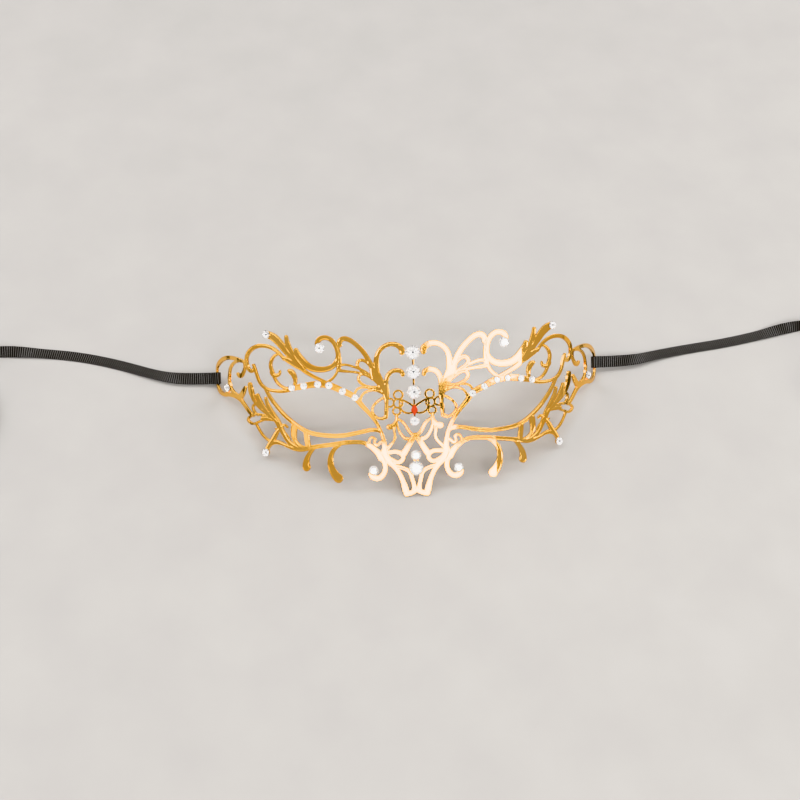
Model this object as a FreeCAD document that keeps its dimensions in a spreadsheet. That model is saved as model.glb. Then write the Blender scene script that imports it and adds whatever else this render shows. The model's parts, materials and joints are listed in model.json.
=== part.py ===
import FreeCAD, Part
import math
import os
from FreeCAD import Vector
from FreeCAD import Base

# Venetian filigree mask: one laser-cut metal sheet bent round the face, with clear flat-back
# stones glued on its front and a ribbon tie sewn round the bar at each end.
#
# Frame: +Z is up from the table, +X is to the right of someone looking at the mask's front and +Y
# points across the table to the crown. The origin is on the table under the mask's middle. The
# mask leans on the foot of its nose and on its two end scrolls, front side up.

doc = FreeCAD.newDocument("masquerade_mask")

# ---------------------------------------------------------------- driving dimensions

DIMENSIONS = {
    "sheet_thick": 1.0,        # metal sheet
    "bridge_radius": 545.0,    # gentle bend over the nose bridge
    "bridge_half": 28.5,       # half length of that gentle bend, along the sheet
    "temple_radius": 76.0,     # tighter bend from there to each end
    "sheet_half": 112.0,       # half length of the blank before bending
    "glue_line": 0.05,         # a stone stands this far above the metal
    "girdle_share": 0.1,       # height of a stone's round rim, over its diameter
    "crown_share": 0.26,       # height of the sloping part above it
    "table_share": 0.56,       # diameter of the flat top
    "large_stone": 6.6,        # stone diameters
    "nose_stone": 6.9,
    "bridge_stone": 4.8,
    "scroll_stone": 4.8,
    "medium_stone": 4.5,
    "small_stone": 3.8,
    "brow_stone": 3.4,
    "enamel_thick": 0.4,
    "ribbon_width": 5.6,
    "ribbon_thick": 0.5,
    "fold_radius": 1.2,        # inside of the ribbon's fold round the bar
    "fold_tail": 5.5,          # from the bar to the end of the sewn fold
    "stitch_at": 2.7,          # from the bar to the seam
    "stitch_length": 4.6,
    "stitch_width": 0.8,
    "stitch_height": 0.3,
    "fold_drop": 4.0,          # slope of the fold behind the mask's own plane, degrees
    "coil_radius": 34.0,       # middle of the coil's turns
    "coil_band": 6.5,          # breadth of the turns together
    "coil_lead": 20.0,         # straight start of the coil
    "bar_at": 109.2,           # place of the ribbon bar along the sheet
    "left_bar_up": 11.6,       # middle of each ribbon on its bar
    "right_bar_up": 13.0,
}

sheet = doc.addObject("Spreadsheet::Sheet", "Dimensions")
for row, (alias, value) in enumerate(DIMENSIONS.items(), start=1):
    sheet.set(f"A{row}", alias)
    sheet.set(f"B{row}", str(value))
    sheet.setAlias(f"B{row}", alias)
doc.recompute()


def dim(alias):
    return float(sheet.get(alias))


# ---------------------------------------------------------------- the bent sheet

def bend_angle(along):
    """Slope of the sheet at a distance along it from the middle."""
    radius, half = dim("bridge_radius"), dim("bridge_half")
    if along < half:
        return along / radius
    return half / radius + (along - half) / dim("temple_radius")


def profile_point(along, depth=0.0):
    """Point of the bent sheet in plan, at a depth below its front face."""
    side = -1 if along < 0 else 1
    along = abs(along)
    bridge_end = bend_angle(min(along, dim("bridge_half")))
    angle = bend_angle(along)
    bridge, temple = dim("bridge_radius"), dim("temple_radius")
    x = bridge * math.sin(bridge_end) + temple * (math.sin(angle) - math.sin(bridge_end))
    z = -bridge * (1 - math.cos(bridge_end)) - temple * (math.cos(bridge_end) - math.cos(angle))
    return Vector(side * (x - depth * math.sin(angle)), 0, z - depth * math.cos(angle))


def profile_surface(depth):
    """Face of the bent sheet; its first parameter is the distance along the flat blank."""
    spacing = 4.0
    count = round(dim("sheet_half") / spacing)
    stations = [spacing * i for i in range(-count, count + 1)]
    curve = Part.BSplineCurve()
    curve.interpolate(Points=[profile_point(s, depth) for s in stations], Parameters=stations)
    return Part.SurfaceOfExtrusion(curve, Vector(0, 1, 0))


# ---------------------------------------------------------------- the flat filigree pattern

PAD_SHARE = 0.86           # diameter of the metal pad under a stone, over the stone's
SLIVER_AREA = 0.3          # gaps between scrolls smaller than this are filled with metal

# One half of the pattern, on the flat blank: each scroll is a line of (along, up, width) points
# from the mask's middle. The other half is its mirror image.
SCROLLS = [
    # crown scroll, second scroll, arch leaf and the plate they grow from
    [(12.5, 3, 2.4), (14.5, 8, 3), (16.5, 13, 3.4), (16.8, 18, 2.6), (15.7, 23.3, 2), (12.8, 26.3, 2),
     (9.2, 27.2, 2.1), (6.6, 26.4, 2.5), (5, 24.8, 2.8), (4.9, 23.3, 2.4)],
    [(12.5, 2.5, 2.2), (12.5, 8.5, 2.2), (12, 12, 2), (10, 14.6, 1.9), (7.6, 15.2, 2),
     (5.4, 14.5, 2.1), (4.8, 13.2, 1.9)],
    [(32.9, 27.3, 1.9), (32.9, 28.9, 2.4), (31.6, 30.2, 2.4), (29.4, 30.1, 2.3), (26, 27.9, 2.2),
     (22.5, 24.2, 2.2), (20, 20, 2.4), (18, 15, 2.6)],
    [(12.7, 3, 2.4), (14.5, 9, 3.4), (17, 13, 4.8), (18.5, 16.5, 2.6)],
    # almond petals of the fan
    [(34, 18, 1.6), (30.5, 18.5, 1.1), (27, 17.5, 1.1), (23.5, 16, 1.2), (20, 13.5, 1.5)],
    [(33.5, 16, 1.6), (28.5, 15.3, 1.1), (24, 14.5, 1.2), (20, 12.8, 1.5)],
    [(21, 14, 1.6), (24.2, 16.4, 1.4), (25.3, 18.6, 1.5), (24.3, 20.2, 1.5), (22.4, 20.2, 1.5),
     (20.2, 18.6, 1.5), (18.2, 15.8, 1.8)],
    [(15, 7.5, 2.4), (20, 8, 1.4), (23.5, 9.6, 1.3), (25, 12, 1.3), (24, 13.8, 1.3), (21.4, 13.5, 1.3),
     (18.5, 11.6, 1.4)],
    # loop from the fan to the inner end of the brow
    [(26.6, 3.6, 1), (26.5, 6.2, 1), (24.8, 7.7, 1), (22, 8, 1.1), (17.5, 6.8, 1.4), (13.5, 5, 1.8)],
    [(24.3, 2.4, 1), (22.8, 5.2, 1), (20, 6.5, 1.2), (16, 6.2, 1.4)],
    # big upper scroll, running on into the third leaf, and the stem beside it
    [(42.9, 27.2, 2), (43.2, 29, 2.3), (41.9, 30.5, 2.3), (39.5, 31.1, 2.2), (37, 30.1, 2.1),
     (35.2, 27.9, 2), (34.3, 25.3, 1.9), (34, 23, 1.9), (34.5, 20.4, 2.1), (36.5, 18, 2.4),
     (39.5, 16.8, 2.6), (43.3, 16.7, 2.8), (48, 18.3, 3.2), (51, 21.2, 3.1), (53.1, 23.9, 2.9),
     (53.7, 25.7, 2)],
    [(34, 28.2, 1.2), (33.4, 24.5, 1.3), (33.3, 20.5, 1.6), (33.8, 17, 2.2)],
    # second leaf, first leaf up to its stone, and the body they share
    [(58.4, 31.8, 1.7), (57.7, 28.2, 2.5), (56, 24.6, 2.4), (53.5, 21, 2), (50.8, 18, 1.8)],
    [(68, 32.8, 3.3), (64.7, 31.3, 3.8), (61.3, 28.2, 3.5), (58, 24.4, 3), (55, 21.3, 2.4), (51, 18, 2.2)],
    [(61, 22.6, 1.2), (58, 21.2, 2.6), (54, 19, 3), (50.5, 17, 2.4)],
    # struts from the leaves and the scroll down to the brow
    [(51, 17, 2), (46.2, 13.8, 1.6), (42.5, 12, 1.5), (39, 10.2, 1.5)],
    [(34, 17.2, 1.2), (36, 13.2, 1.2), (38.8, 11, 1.2)],
    # outer scroll and the tail that runs from it to the outer end of the brow
    [(60, 21.5, 1.4), (63.3, 25, 1.5), (67, 27, 1.7), (71.5, 27.8, 1.9), (75.7, 27.3, 2),
     (79.6, 25.4, 2), (82, 22.2, 2), (82, 19.3, 1.9), (80.8, 16.8, 1.8), (78.6, 16, 1.8), (77.2, 17.6, 1.6)],
    [(77.6, 18.8, 1.3), (76.2, 15.4, 1.5), (75, 12.4, 1.5), (73, 9.6, 1.5), (70, 7.8, 1.5), (66, 7, 1.5),
     (60, 7, 1.7), (56, 8.2, 2.2)],
    # inner curl with its leaf, and the small bud on the outermost brow stone
    [(62, 24, 1.2), (64.5, 23.4, 1.3), (66.7, 21.2, 1.5), (67.4, 18.4, 1.6), (66.5, 15.5, 1.8),
     (65.4, 12.8, 1.4), (63.4, 10.2, 1.3), (60.8, 8.6, 1.3), (57, 8, 1.6)],
    [(67, 15.6, 1.8), (65, 14, 2), (63, 14.6, 1.4), (62.4, 16.2, 0.8)],
    [(57.6, 16.3, 1.6), (56.4, 15.6, 2.7), (55.1, 13.8, 2.4), (54.7, 11, 1.6), (56, 8.4, 1.6)],
    # end scroll with the ribbon bar, the arc inside it and its hook
    [(84, 20.3, 1.5), (89, 21.4, 1.8), (94.8, 22, 2), (101.5, 21, 2.2), (106.3, 18.9, 2.2),
     (108.7, 16.8, 1.6), (109.2, 14.8, 1.4), (109.2, 11.8, 1.4), (109.2, 9, 1.4), (108, 6.8, 2.1),
     (104, 4.6, 1.9), (99, 4.2, 2)],
    [(97.3, 7.4, 2.2), (98.8, 4.6, 2.4)],
    [(84, 20.3, 1.2), (88.5, 20.4, 1.3), (92.3, 19.2, 1.4), (94.9, 16.8, 1.5), (96, 13.6, 1.6),
     (96.2, 10, 1.7), (94.8, 7.2, 1.9), (92, 5, 2), (88, 3.6, 2.2)],
    [(84, 20.3, 1.2), (83.5, 17.8, 1.4), (84.5, 15.4, 1.6), (86.7, 13.6, 2.2), (88.8, 14.4, 1.6)],
    # side garland: strand, thorn and three leaves
    [(99, 4.2, 2), (92.5, 4, 2), (87, 1.9, 2), (83, -1.9, 1.8), (79.3, -4.8, 1.6)],
    [(88, 3.2, 3), (85.3, 6, 2.6), (83.8, 8.2, 1.5)],
    [(80.5, 9.6, 2.4), (79.9, 6.6, 3), (78.2, 2.8, 2.3), (75.2, -0.5, 1.7), (71.5, -3, 1.6)],
    [(75.9, 4.6, 2.1), (74.1, 1, 2.8), (70.5, -3, 2.2), (66.5, -6.2, 1.9), (63.5, -9.8, 1.8)],
    [(70.9, 3.4, 1.6), (69.2, -0.8, 2.1), (66, -4.8, 1.8), (63.2, -9, 1.6)],
    [(76.8, 0.6, 1.2), (79.2, -1.3, 1.2), (78.2, -3.2, 1.2), (75.6, -4.4, 1.2)],
    # tulip and the thin strand below it
    [(73.2, -6, 2.2), (70.5, -6, 2.2), (67.3, -6.6, 1.2)],
    [(77.6, -8.4, 1.1), (75.6, -11.5, 1.1), (72.2, -15, 1.1), (68.6, -16.6, 1.4)],
    # lower rim of the eye
    [(72.2, 9.4, 0.9), (70.2, 6.6, 1.5), (68.2, 3.7, 1.7), (65, 0, 1.8), (61.4, -3.7, 1.9),
     (57.4, -7, 1.9), (53, -10, 1.9), (49.2, -11.9, 2), (45.4, -12.9, 2), (41, -13.5, 2),
     (36.5, -13.8, 2), (32, -13.6, 2), (27.4, -12.9, 2), (22.8, -12, 1.9), (18.4, -11.6, 1.8),
     (15.8, -12.4, 1.6)],
    # brow band, thinning down the side of the nose
    [(57.5, 8.2, 2.4), (50, 9.3, 2.8), (43.5, 10, 3), (38, 9.2, 3), (32, 6.5, 2.8), (26.8, 3.5, 2.6),
     (24, 0, 2.2), (21, -3.4, 1.9), (18, -7.5, 1.6), (15.5, -12.6, 1.4)],
    [(15.5, -12.4, 1.4), (14.4, -16.8, 1.7), (14, -21.6, 2.6)],
    # lower cluster: node with its hooks, branch to the stone, and the band's first leaf
    [(66, -6.4, 1.8), (63.6, -9.6, 2.8), (61.6, -13, 2.2), (59.2, -16.4, 2.2), (56, -18.7, 2.2),
     (53, -19.6, 2.2)],
    [(63, -10.6, 1.6), (61.2, -8.8, 1.2), (59.6, -9.8, 0.8)],
    [(63.6, -11, 1.4), (66, -10.6, 0.8)],
    [(60.8, -12.8, 1.2), (58.8, -15, 0.8)],
    [(64, -10.8, 1.6), (66.3, -13.6, 2.2), (68, -16.2, 2.6), (70.2, -18.6, 2.2), (71.8, -21.4, 1.8)],
    # two broad leaves that tie the lower band to the rim of the eye
    [(56, -9.6, 3.2), (56.5, -13, 2.8), (56, -15.8, 1.9), (54, -18, 1.6), (51, -19.2, 1.6)],
    [(50.2, -12.6, 2.4), (49.9, -15.6, 2.4), (49.4, -18.6, 2.6)],
    # lower band, out of the side of the nose
    [(69, -17.6, 2.4), (65, -16.9, 2), (61.8, -17.8, 1.5), (58.5, -19, 1.8), (53.4, -19.9, 2.4),
     (48.5, -19.2, 2.2), (43.7, -18.4, 1.9), (36.7, -17.6, 2.1), (32, -17, 2.1), (27.5, -16.9, 2),
     (23, -17.6, 1.9), (20.2, -19.3, 2), (17.6, -21.7, 2.4), (15.7, -24.6, 3)],
    # two drops hanging from the band, and the scroll beside the nose
    [(46.8, -19.2, 1.8), (49.3, -22.4, 2.1), (50.7, -25.6, 2.9), (50.7, -28.2, 3.8)],
    [(34.5, -18, 1.6), (38, -21.2, 2.1), (39.2, -25.7, 2.7), (38.2, -30, 3.4), (35.7, -33.4, 4.3)],
    [(17.4, -21.8, 2.4), (14.9, -25.4, 2.1), (14.1, -28.8, 1.9), (14.9, -31.8, 2), (17.3, -33.8, 2.3),
     (19.8, -33.2, 2.5), (20.6, -31, 2)],
    [(21, -18.8, 1.2), (21, -16.3, 1.1), (19.7, -15, 1.1), (18.4, -15.8, 1.1), (18.7, -17.6, 1),
     (17.8, -18.6, 1), (16, -17.4, 1), (14.6, -17, 1)],
    # oval loop between brow and nose, and the band beside the knot
    [(12.6, 3.2, 1.4), (17.3, 0.8, 1.1), (19.2, -2.4, 1.1), (18, -5.2, 1.2), (15.8, -6.5, 1.3),
     (13, -5.6, 1.8)],
    [(12.7, 4, 2.4), (12.6, 0, 1.8), (12.8, -3, 2), (13, -6, 1.6)],
    # stem of the knot, its knob, and the two sides of the long leaf that meets the nose
    [(8.2, -5, 1.2), (8.3, -7.4, 1.4), (9.3, -9.4, 2), (11.7, -10.5, 2.6)],
    [(9.4, -9.6, 1.6), (9.4, -13, 1.1), (9.4, -16, 1), (11, -18.4, 1), (13, -20.4, 1.4)],
    [(8.3, -7, 1.2), (6, -8, 1.1), (3.6, -11.2, 1.2), (1.9, -13.8, 1.4), (0, -15, 2)],
    [(8.4, -8.4, 1), (8, -10.4, 1), (6.9, -13.2, 1.1), (5.5, -15.2, 1.2), (3, -16.4, 1.6)],
    # V of the nose, running down to the drop
    [(0, -14.8, 2.6), (2, -17.3, 2.2), (3.6, -20, 2.2), (5.6, -23, 2.6)],
    # side wall of the nose, the wall inside it and its lower edge
    [(14.2, -21.6, 3), (12.8, -25.4, 3), (9.8, -28.8, 2.2), (7.8, -32, 1.8), (6.2, -35.8, 2),
     (5.2, -39.4, 2.8), (4.6, -41.4, 2.4)],
    [(9.4, -28.8, 1.6), (5.6, -29.8, 1.4), (3, -31.6, 1.6), (2, -34.6, 1.5), (1.3, -37.4, 1.6),
     (1.2, -39.6, 2)],
    [(4.8, -41.4, 2.4), (2.4, -41, 2), (0, -39.4, 2.2)],
]

# Closed rings of the pattern, as points on each ring's centre line, with its width
RINGS = [
    (1.2, [(70, -5.2), (75.6, -4.2), (80.2, -5), (82.7, -7), (80.6, -8.5), (76, -7.8)]),   # tulip
    (0.9, [(6.2, 1.6), (3, 0.4), (0.4, -2), (0.9, -4), (3.4, -4.4), (6, -2.6)]),           # bow
    (1.6, [(14.6, -22.8), (10.5, -22), (7, -22.7), (5.8, -24.8), (7.6, -26.8), (10.8, -25.8)]),  # nose drop
]

# Round loops of the knot: centre along, centre up, radius of the centre line, wire width
KNOT_LOOPS = [
    (7.2, 4, 2, 0.9),
    (11.2, 0.6, 1.9, 0.9),
    (7.4, 0.2, 2, 0.9),
    (8.1, -3.4, 1.7, 0.9),
]
# Strokes on the centre line: the stem behind the centre stones, and the tie between nose stones
CENTRE_SCROLLS = [
    [(0, 23.2, 0.8), (0, 8, 0.8), (0, -8.1, 0.8)],
    [(0, -24.4, 2), (0, -29.6, 2)],
]

# Stones: name, kind and place on the flat blank. A kind's diameter is a cell of the spreadsheet.
CENTRE_STONES = [
    ("crown_stone", "large", 23.2),
    ("upper_centre_stone", "large", 14.4),
    ("lower_centre_stone", "large", 5.2),
    ("bow_stone", "medium", -8.1),
    ("bridge_stone", "bridge", -23.8),
    ("nose_stone", "nose", -29.75),
]
SIDE_STONES = [
    ("brow_stone_1", "brow", 26.8, 3.5),
    ("brow_stone_2", "brow", 32.4, 6.5),
    ("brow_stone_3", "brow", 38.5, 9.3),
    ("brow_stone_4", "brow", 43.7, 9.9),
    ("brow_stone_5", "brow", 50.4, 9.3),
    ("brow_stone_6", "brow", 56.3, 8.4),
    ("tip_stone", "small", 68.9, 33),
    ("scroll_stone", "scroll", 42.2, 26.4),
    ("side_stone", "small", 97.3, 7.6),
    ("cheek_stone", "small", 71.8, -21.8),
    ("nose_scroll_stone", "medium", 19.5, -30.2),
]


def interpolated(points, closed=False):
    curve = Part.BSplineCurve()
    curve.interpolate(Points=points, PeriodicFlag=closed)
    return curve


def stations_of(curve, points, closed):
    """Parameters of a curve at its points and midway between them."""
    knots = [curve.parameter(p) for p in points]
    if closed:
        knots.append(curve.LastParameter)
    stations = []
    for first, second in zip(knots, knots[1:]):
        stations += [first, (first + second) / 2]
    return stations if closed else stations + [knots[-1]]


def side_points(curve, stations, widths, side):
    """Points half a width to one side of a centre line."""
    points = []
    for t, width in zip(stations, widths):
        along = curve.tangent(t)[0]
        points.append(curve.value(t) + Vector(-along.y, along.x, 0) * (side * width / 2))
    return points


def scroll_face(scroll):
    """Flat face of one scroll: two smooth sides and a round cap at each end."""
    points = [Vector(u, v, 0) for u, v, width in scroll]
    curve = interpolated(points)
    stations = stations_of(curve, points, closed=False)
    widths = [scroll[0][2]]
    for (_, _, first), (_, _, second) in zip(scroll, scroll[1:]):
        widths += [(first + second) / 2, second]
    left = side_points(curve, stations, widths, 1)
    right = side_points(curve, stations, widths, -1)
    start = points[0] - curve.tangent(curve.FirstParameter)[0] * (widths[0] / 2)
    end = points[-1] + curve.tangent(curve.LastParameter)[0] * (widths[-1] / 2)
    edges = [
        interpolated(left).toShape(),
        Part.Arc(left[-1], end, right[-1]).toShape(),
        interpolated(right[::-1]).toShape(),
        Part.Arc(right[0], start, left[0]).toShape(),
    ]
    return Part.Face(Part.Wire(edges))


def ring_face(width, places):
    """Flat face of a closed loop of wire of one width."""
    points = [Vector(u, v, 0) for u, v in places]
    curve = interpolated(points, closed=True)
    stations = stations_of(curve, points, closed=True)
    widths = [width] * len(stations)
    sides = []
    for side in (1, -1):
        line = interpolated(side_points(curve, stations, widths, side), closed=True)
        sides.append(Part.Face(Part.Wire([line.toShape()])))
    inner, outer = sorted(sides, key=lambda face: face.Area)
    return outer.cut(inner)


def disc_face(u, v, radius):
    return Part.Face(Part.Wire([Part.Circle(Vector(u, v, 0), Vector(0, 0, 1), radius).toShape()]))


def outline(faces):
    """Boundary wires of overlapping coplanar faces, the outer one first, without tiny slivers."""
    uses = {}
    for face in faces[0].multiFuse(faces[1:]).Faces:
        for edge in face.Edges:
            uses.setdefault(edge.hashCode(), []).append(edge)
    boundary = [edges[0] for edges in uses.values() if len(edges) == 1]
    wires = [Part.Wire(edges) for edges in Part.sortEdges(boundary)]
    areas = [Part.Face(wire).Area for wire in wires]
    ranked = sorted(zip(areas, wires), key=lambda pair: -pair[0])
    return [wire for area, wire in ranked if area > SLIVER_AREA]


def pad_face(kind, u, v):
    return disc_face(u, v, dim(kind + "_stone") * PAD_SHARE / 2)


def flat_pattern():
    """Wires of the whole blank: one half, its mirror image and what lies on the centre line."""
    faces = [scroll_face(scroll) for scroll in SCROLLS]
    faces += [ring_face(width, places) for width, places in RINGS]
    for u, v, radius, width in KNOT_LOOPS:
        faces.append(disc_face(u, v, radius + width / 2).cut(disc_face(u, v, radius - width / 2)))
    faces += [pad_face(kind, u, v) for _, kind, u, v in SIDE_STONES]
    faces += [face.mirror(Vector(0, 0, 0), Vector(1, 0, 0)) for face in faces]
    faces += [scroll_face(scroll) for scroll in CENTRE_SCROLLS]
    faces += [pad_face(kind, 0, v) for _, kind, v in CENTRE_STONES]
    return outline(faces)


def bent_edge(edge, surface):
    """An edge of the flat blank, laid on a face of the bent sheet."""
    first, last = edge.ParameterRange
    if isinstance(edge.Curve, Part.BSplineCurve):
        flat = edge.Curve.copy()
        flat.segment(first, last)
    elif isinstance(edge.Curve, Part.Circle):
        flat = Part.ArcOfCircle(edge.Curve, first, last).toBSpline()
    else:
        flat = Part.LineSegment(edge.Curve.value(first), edge.Curve.value(last)).toBSpline()
    poles = [Base.Vector2d(p.x, p.y) for p in flat.getPoles()]
    trace = Part.Geom2d.BSplineCurve2d()
    trace.buildFromPolesMultsKnots(
        poles, flat.getMultiplicities(), flat.getKnots(), False, flat.Degree, flat.getWeights()
    )
    return trace.toShape(surface)


def bent_plate(wires, thickness):
    """The blank bent round the face: front, back and the cut walls square to the sheet."""
    surfaces = [profile_surface(0), profile_surface(thickness)]
    loops = [[], []]
    walls = []
    for wire in wires:
        pairs = [[bent_edge(edge, surface) for surface in surfaces] for edge in wire.OrderedEdges]
        for side in (0, 1):
            loops[side].append(Part.Wire([pair[side] for pair in pairs]))
        walls += [Part.makeRuledSurface(front, back) for front, back in pairs]
    sides = []
    for surface, (outer, *holes) in zip(surfaces, loops):
        face = Part.Face(surface, outer)
        face.cutHoles(holes)
        face.validate()
        sides.append(face)
    shell = Part.makeCompound(sides + walls)
    shell.sewShape()
    return Part.makeSolid(shell.Shells[0])


# ---------------------------------------------------------------- how the mask rests

NOSE_HALF = 20.0           # the part of the mask that may touch the table in front
TEMPLE_FROM = 60.0         # and behind, measured from the middle
MESH_STEP = 0.05           # fineness of the points tried against the table
HALVINGS = 40


def foot_height(points, angle, chosen):
    """Height of the lowest chosen point when the mask leans by an angle."""
    return min(p.y * math.sin(angle) + p.z * math.cos(angle) for p in points if chosen(p))


def resting_angle(plate):
    """Lean at which the foot of the nose and both end scrolls touch the table together."""
    points = plate.tessellate(MESH_STEP)[0]
    low, high = 0.0, math.pi / 2
    for _ in range(HALVINGS):
        angle = (low + high) / 2
        nose = foot_height(points, angle, lambda p: abs(p.x) < NOSE_HALF)
        temple = foot_height(points, angle, lambda p: abs(p.x) > TEMPLE_FROM)
        if nose > temple:
            low = angle
        else:
            high = angle
    return math.degrees(angle), -temple


# ---------------------------------------------------------------- document objects

UP = Vector(0, 0, 1)
ACROSS = Vector(0, 1, 0)
ALONG = Vector(1, 0, 0)
SIDES = (("left", -1), ("right", 1))
nodes = []


def feature(name, shape, placement=None):
    """A sub-part whose shape is built above; its place is set after its shape."""
    part = doc.addObject("Part::Feature", name)
    part.Label = name
    part.Shape = shape
    if placement is not None:
        part.Placement = placement
    nodes.append(part)
    return part


def sheet_placement(side, along, up, depth=0.0):
    """Frame on the bent sheet with its Z square to the metal."""
    point = profile_point(side * along, depth) + ACROSS * up
    angle = math.degrees(bend_angle(along)) * side
    return FreeCAD.Placement(point, FreeCAD.Rotation(ACROSS, angle))


plate = bent_plate(flat_pattern(), dim("sheet_thick"))
lean, stand = resting_angle(plate)


def rest(placement, shift_y=0.0):
    """From the mask's own frame to the table."""
    table = FreeCAD.Placement(Vector(0, shift_y, stand), FreeCAD.Rotation(ALONG, lean))
    return table.multiply(placement)


def stone(name, kind, side, along, up):
    """Flat-back stone: a round girdle with a sloping crown and a flat table on top."""
    size = f"Dimensions.{kind}_stone"
    girdle = doc.addObject("Part::Cylinder", name + "_girdle")
    girdle.setExpression("Radius", f"{size} / 2")
    girdle.setExpression("Height", f"{size} * Dimensions.girdle_share")
    crown = doc.addObject("Part::Cone", name + "_crown")
    crown.setExpression("Radius1", f"{size} / 2")
    crown.setExpression("Radius2", f"{size} * Dimensions.table_share / 2")
    crown.setExpression("Height", f"{size} * Dimensions.crown_share")
    crown.setExpression("Placement.Base.z", f"{size} * Dimensions.girdle_share")
    whole = doc.addObject("Part::Fuse", name)
    whole.Base = girdle
    whole.Tool = crown
    whole.Label = name
    whole.Placement = sheet_placement(side, along, up, -dim("glue_line"))
    nodes.append(whole)


feature("mask_frame", plate)
for name, kind, up in CENTRE_STONES:
    stone(name, kind, 1, 0, up)
for side_name, side in SIDES:
    for name, kind, along, up in SIDE_STONES:
        stone(f"{side_name}_{name}", kind, side, along, up)

# red enamel drop where the two loops of the bow meet
enamel = scroll_face([(0, -1.2, 0.6), (0, -2.6, 2.4), (0, -3.6, 3), (0, -4.5, 1.2), (0, -5.1, 0.8)])
feature(
    "bow_enamel",
    enamel.extrude(UP * dim("enamel_thick")),
    sheet_placement(1, 0, 0, -dim("glue_line")),
)


def bound(kind, name, sizes):
    """Primitive whose sizes are bound to the sheet."""
    part = doc.addObject(kind, name)
    for field, formula in sizes.items():
        part.setExpression(field, formula)
    return part


def joined(kind, name, base, tool):
    """Fuse or cut of two parts."""
    part = doc.addObject(kind, name)
    part.Base = base
    part.Tool = tool
    return part


def fold_placement(side):
    """At the middle of the bar, X outward along the fold, Y along the bar."""
    up = dim("right_bar_up") if side > 0 else dim("left_bar_up")
    bar = sheet_placement(side, dim("bar_at"), up, dim("sheet_thick") / 2).Base
    turn = dim("fold_drop") if side > 0 else 180 - dim("fold_drop")
    return FreeCAD.Placement(bar, FreeCAD.Rotation(ACROSS, turn))


def ribbon_fold(side_name, side):
    """Ribbon folded round the bar, both layers flat together beyond it."""
    name = f"{side_name}_ribbon_fold"
    width = {"Height": "Dimensions.ribbon_width", "Placement.Base.y": "Dimensions.ribbon_width / 2"}
    along_bar = FreeCAD.Rotation(ALONG, 90)
    outer = "Dimensions.fold_radius + Dimensions.ribbon_thick"
    ring = bound("Part::Cylinder", name + "_ring", {"Radius": outer, **width})
    hole = bound("Part::Cylinder", name + "_hole", {"Radius": "Dimensions.fold_radius", **width})
    for part in (ring, hole):
        part.Placement.Rotation = along_bar
    layers = bound("Part::Box", name + "_layers", {
        "Length": "Dimensions.fold_tail",
        "Width": "Dimensions.ribbon_width",
        "Height": "2 * Dimensions.ribbon_thick",
        "Placement.Base.y": "-Dimensions.ribbon_width / 2",
        "Placement.Base.z": "-Dimensions.ribbon_thick",
    })
    solid = joined("Part::Fuse", name + "_solid", ring, layers)
    fold = joined("Part::Cut", name, solid, hole)
    fold.Label = name
    fold.Placement = fold_placement(side)
    nodes.append(fold)


def seam(side_name, side):
    """Bar of thread across the fold, on the face that is seen."""
    name = f"{side_name}_seam"
    part = bound("Part::Box", name, {
        "Length": "Dimensions.stitch_width",
        "Width": "Dimensions.stitch_length",
        "Height": "Dimensions.stitch_height",
    })
    part.Label = name
    seen = 1 if side > 0 else -1
    corner = Vector(dim("stitch_at"), -dim("stitch_length") / 2, seen * dim("ribbon_thick"))
    if seen < 0:
        corner.z -= dim("stitch_height")
    part.Placement = fold_placement(side).multiply(FreeCAD.Placement(corner, FreeCAD.Rotation()))
    nodes.append(part)


for side_name, side in SIDES:
    ribbon_fold(side_name, side)
    seam(side_name, side)
doc.recompute()

# the mask's own pieces, laid down on the table with the middle of their box over the origin
for part in nodes:
    part.Placement = rest(part.Placement)
doc.recompute()
box = FreeCAD.BoundBox()
for part in nodes:
    box.add(part.Shape.BoundBox)
shift = -box.Center.y
aside = FreeCAD.Placement(Vector(0, shift, 0), FreeCAD.Rotation())
for part in nodes:
    part.Placement = aside.multiply(part.Placement)

# ---------------------------------------------------------------- ribbons on the table

# route of each ribbon from the end of its fold to its coil: flat on the table, then on edge
ROUTES = {
    "left": [
        (-124, 37.8, 1.0), (-141, 45, 0.3), (-160, 50.6, 0.3), (-178, 53.4, 0.4),
        (-191, 54.2, 1.7), (-204, 53.6, 2.85), (-216.5, 52.2, 2.85),
    ],
    "right": [
        (124, 38.8, 1.0), (141, 42.4, 0.3), (160, 45.2, 0.3), (178, 49, 0.4),
        (191, 52, 1.7), (204, 53.6, 2.85), (216.5, 53.4, 2.85),
    ],
}
LEAD_OUT = 13.0            # straight out of the fold
ARC_SHARE = 0.45           # of the shorter run beside a corner
LEVEL_AFTER = 28.0         # the ribbon has turned flat this far from its fold
EDGE_WITHIN = 39.0         # and turns on edge over this length before the coil
STATION_STEP = 3.0


def rounded_path(points):
    """Straight runs joined by tangent arcs; also the arcs' radii."""
    edges = []
    radii = []
    start = points[0]
    for before, corner, after in zip(points, points[1:], points[2:]):
        into = corner - before
        away = after - corner
        reach = ARC_SHARE * min(into.Length, away.Length)
        into.normalize()
        away.normalize()
        half_turn = into.getAngle(away) / 2
        radius = reach / math.tan(half_turn)
        inward = (away - into).normalize()
        first = corner - into * reach
        last = corner + away * reach
        middle = corner + inward * (radius / math.cos(half_turn) - radius)
        edges.append(Part.LineSegment(start, first).toShape())
        edges.append(Part.Arc(first, middle, last).toShape())
        radii.append(radius)
        start = last
    edges.append(Part.LineSegment(start, points[-1]).toShape())
    return Part.Wire(edges), radii


def smooth(share):
    """0 to 1 with level ends."""
    share = min(max(share, 0.0), 1.0)
    return share * share * (3 - 2 * share)


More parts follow.
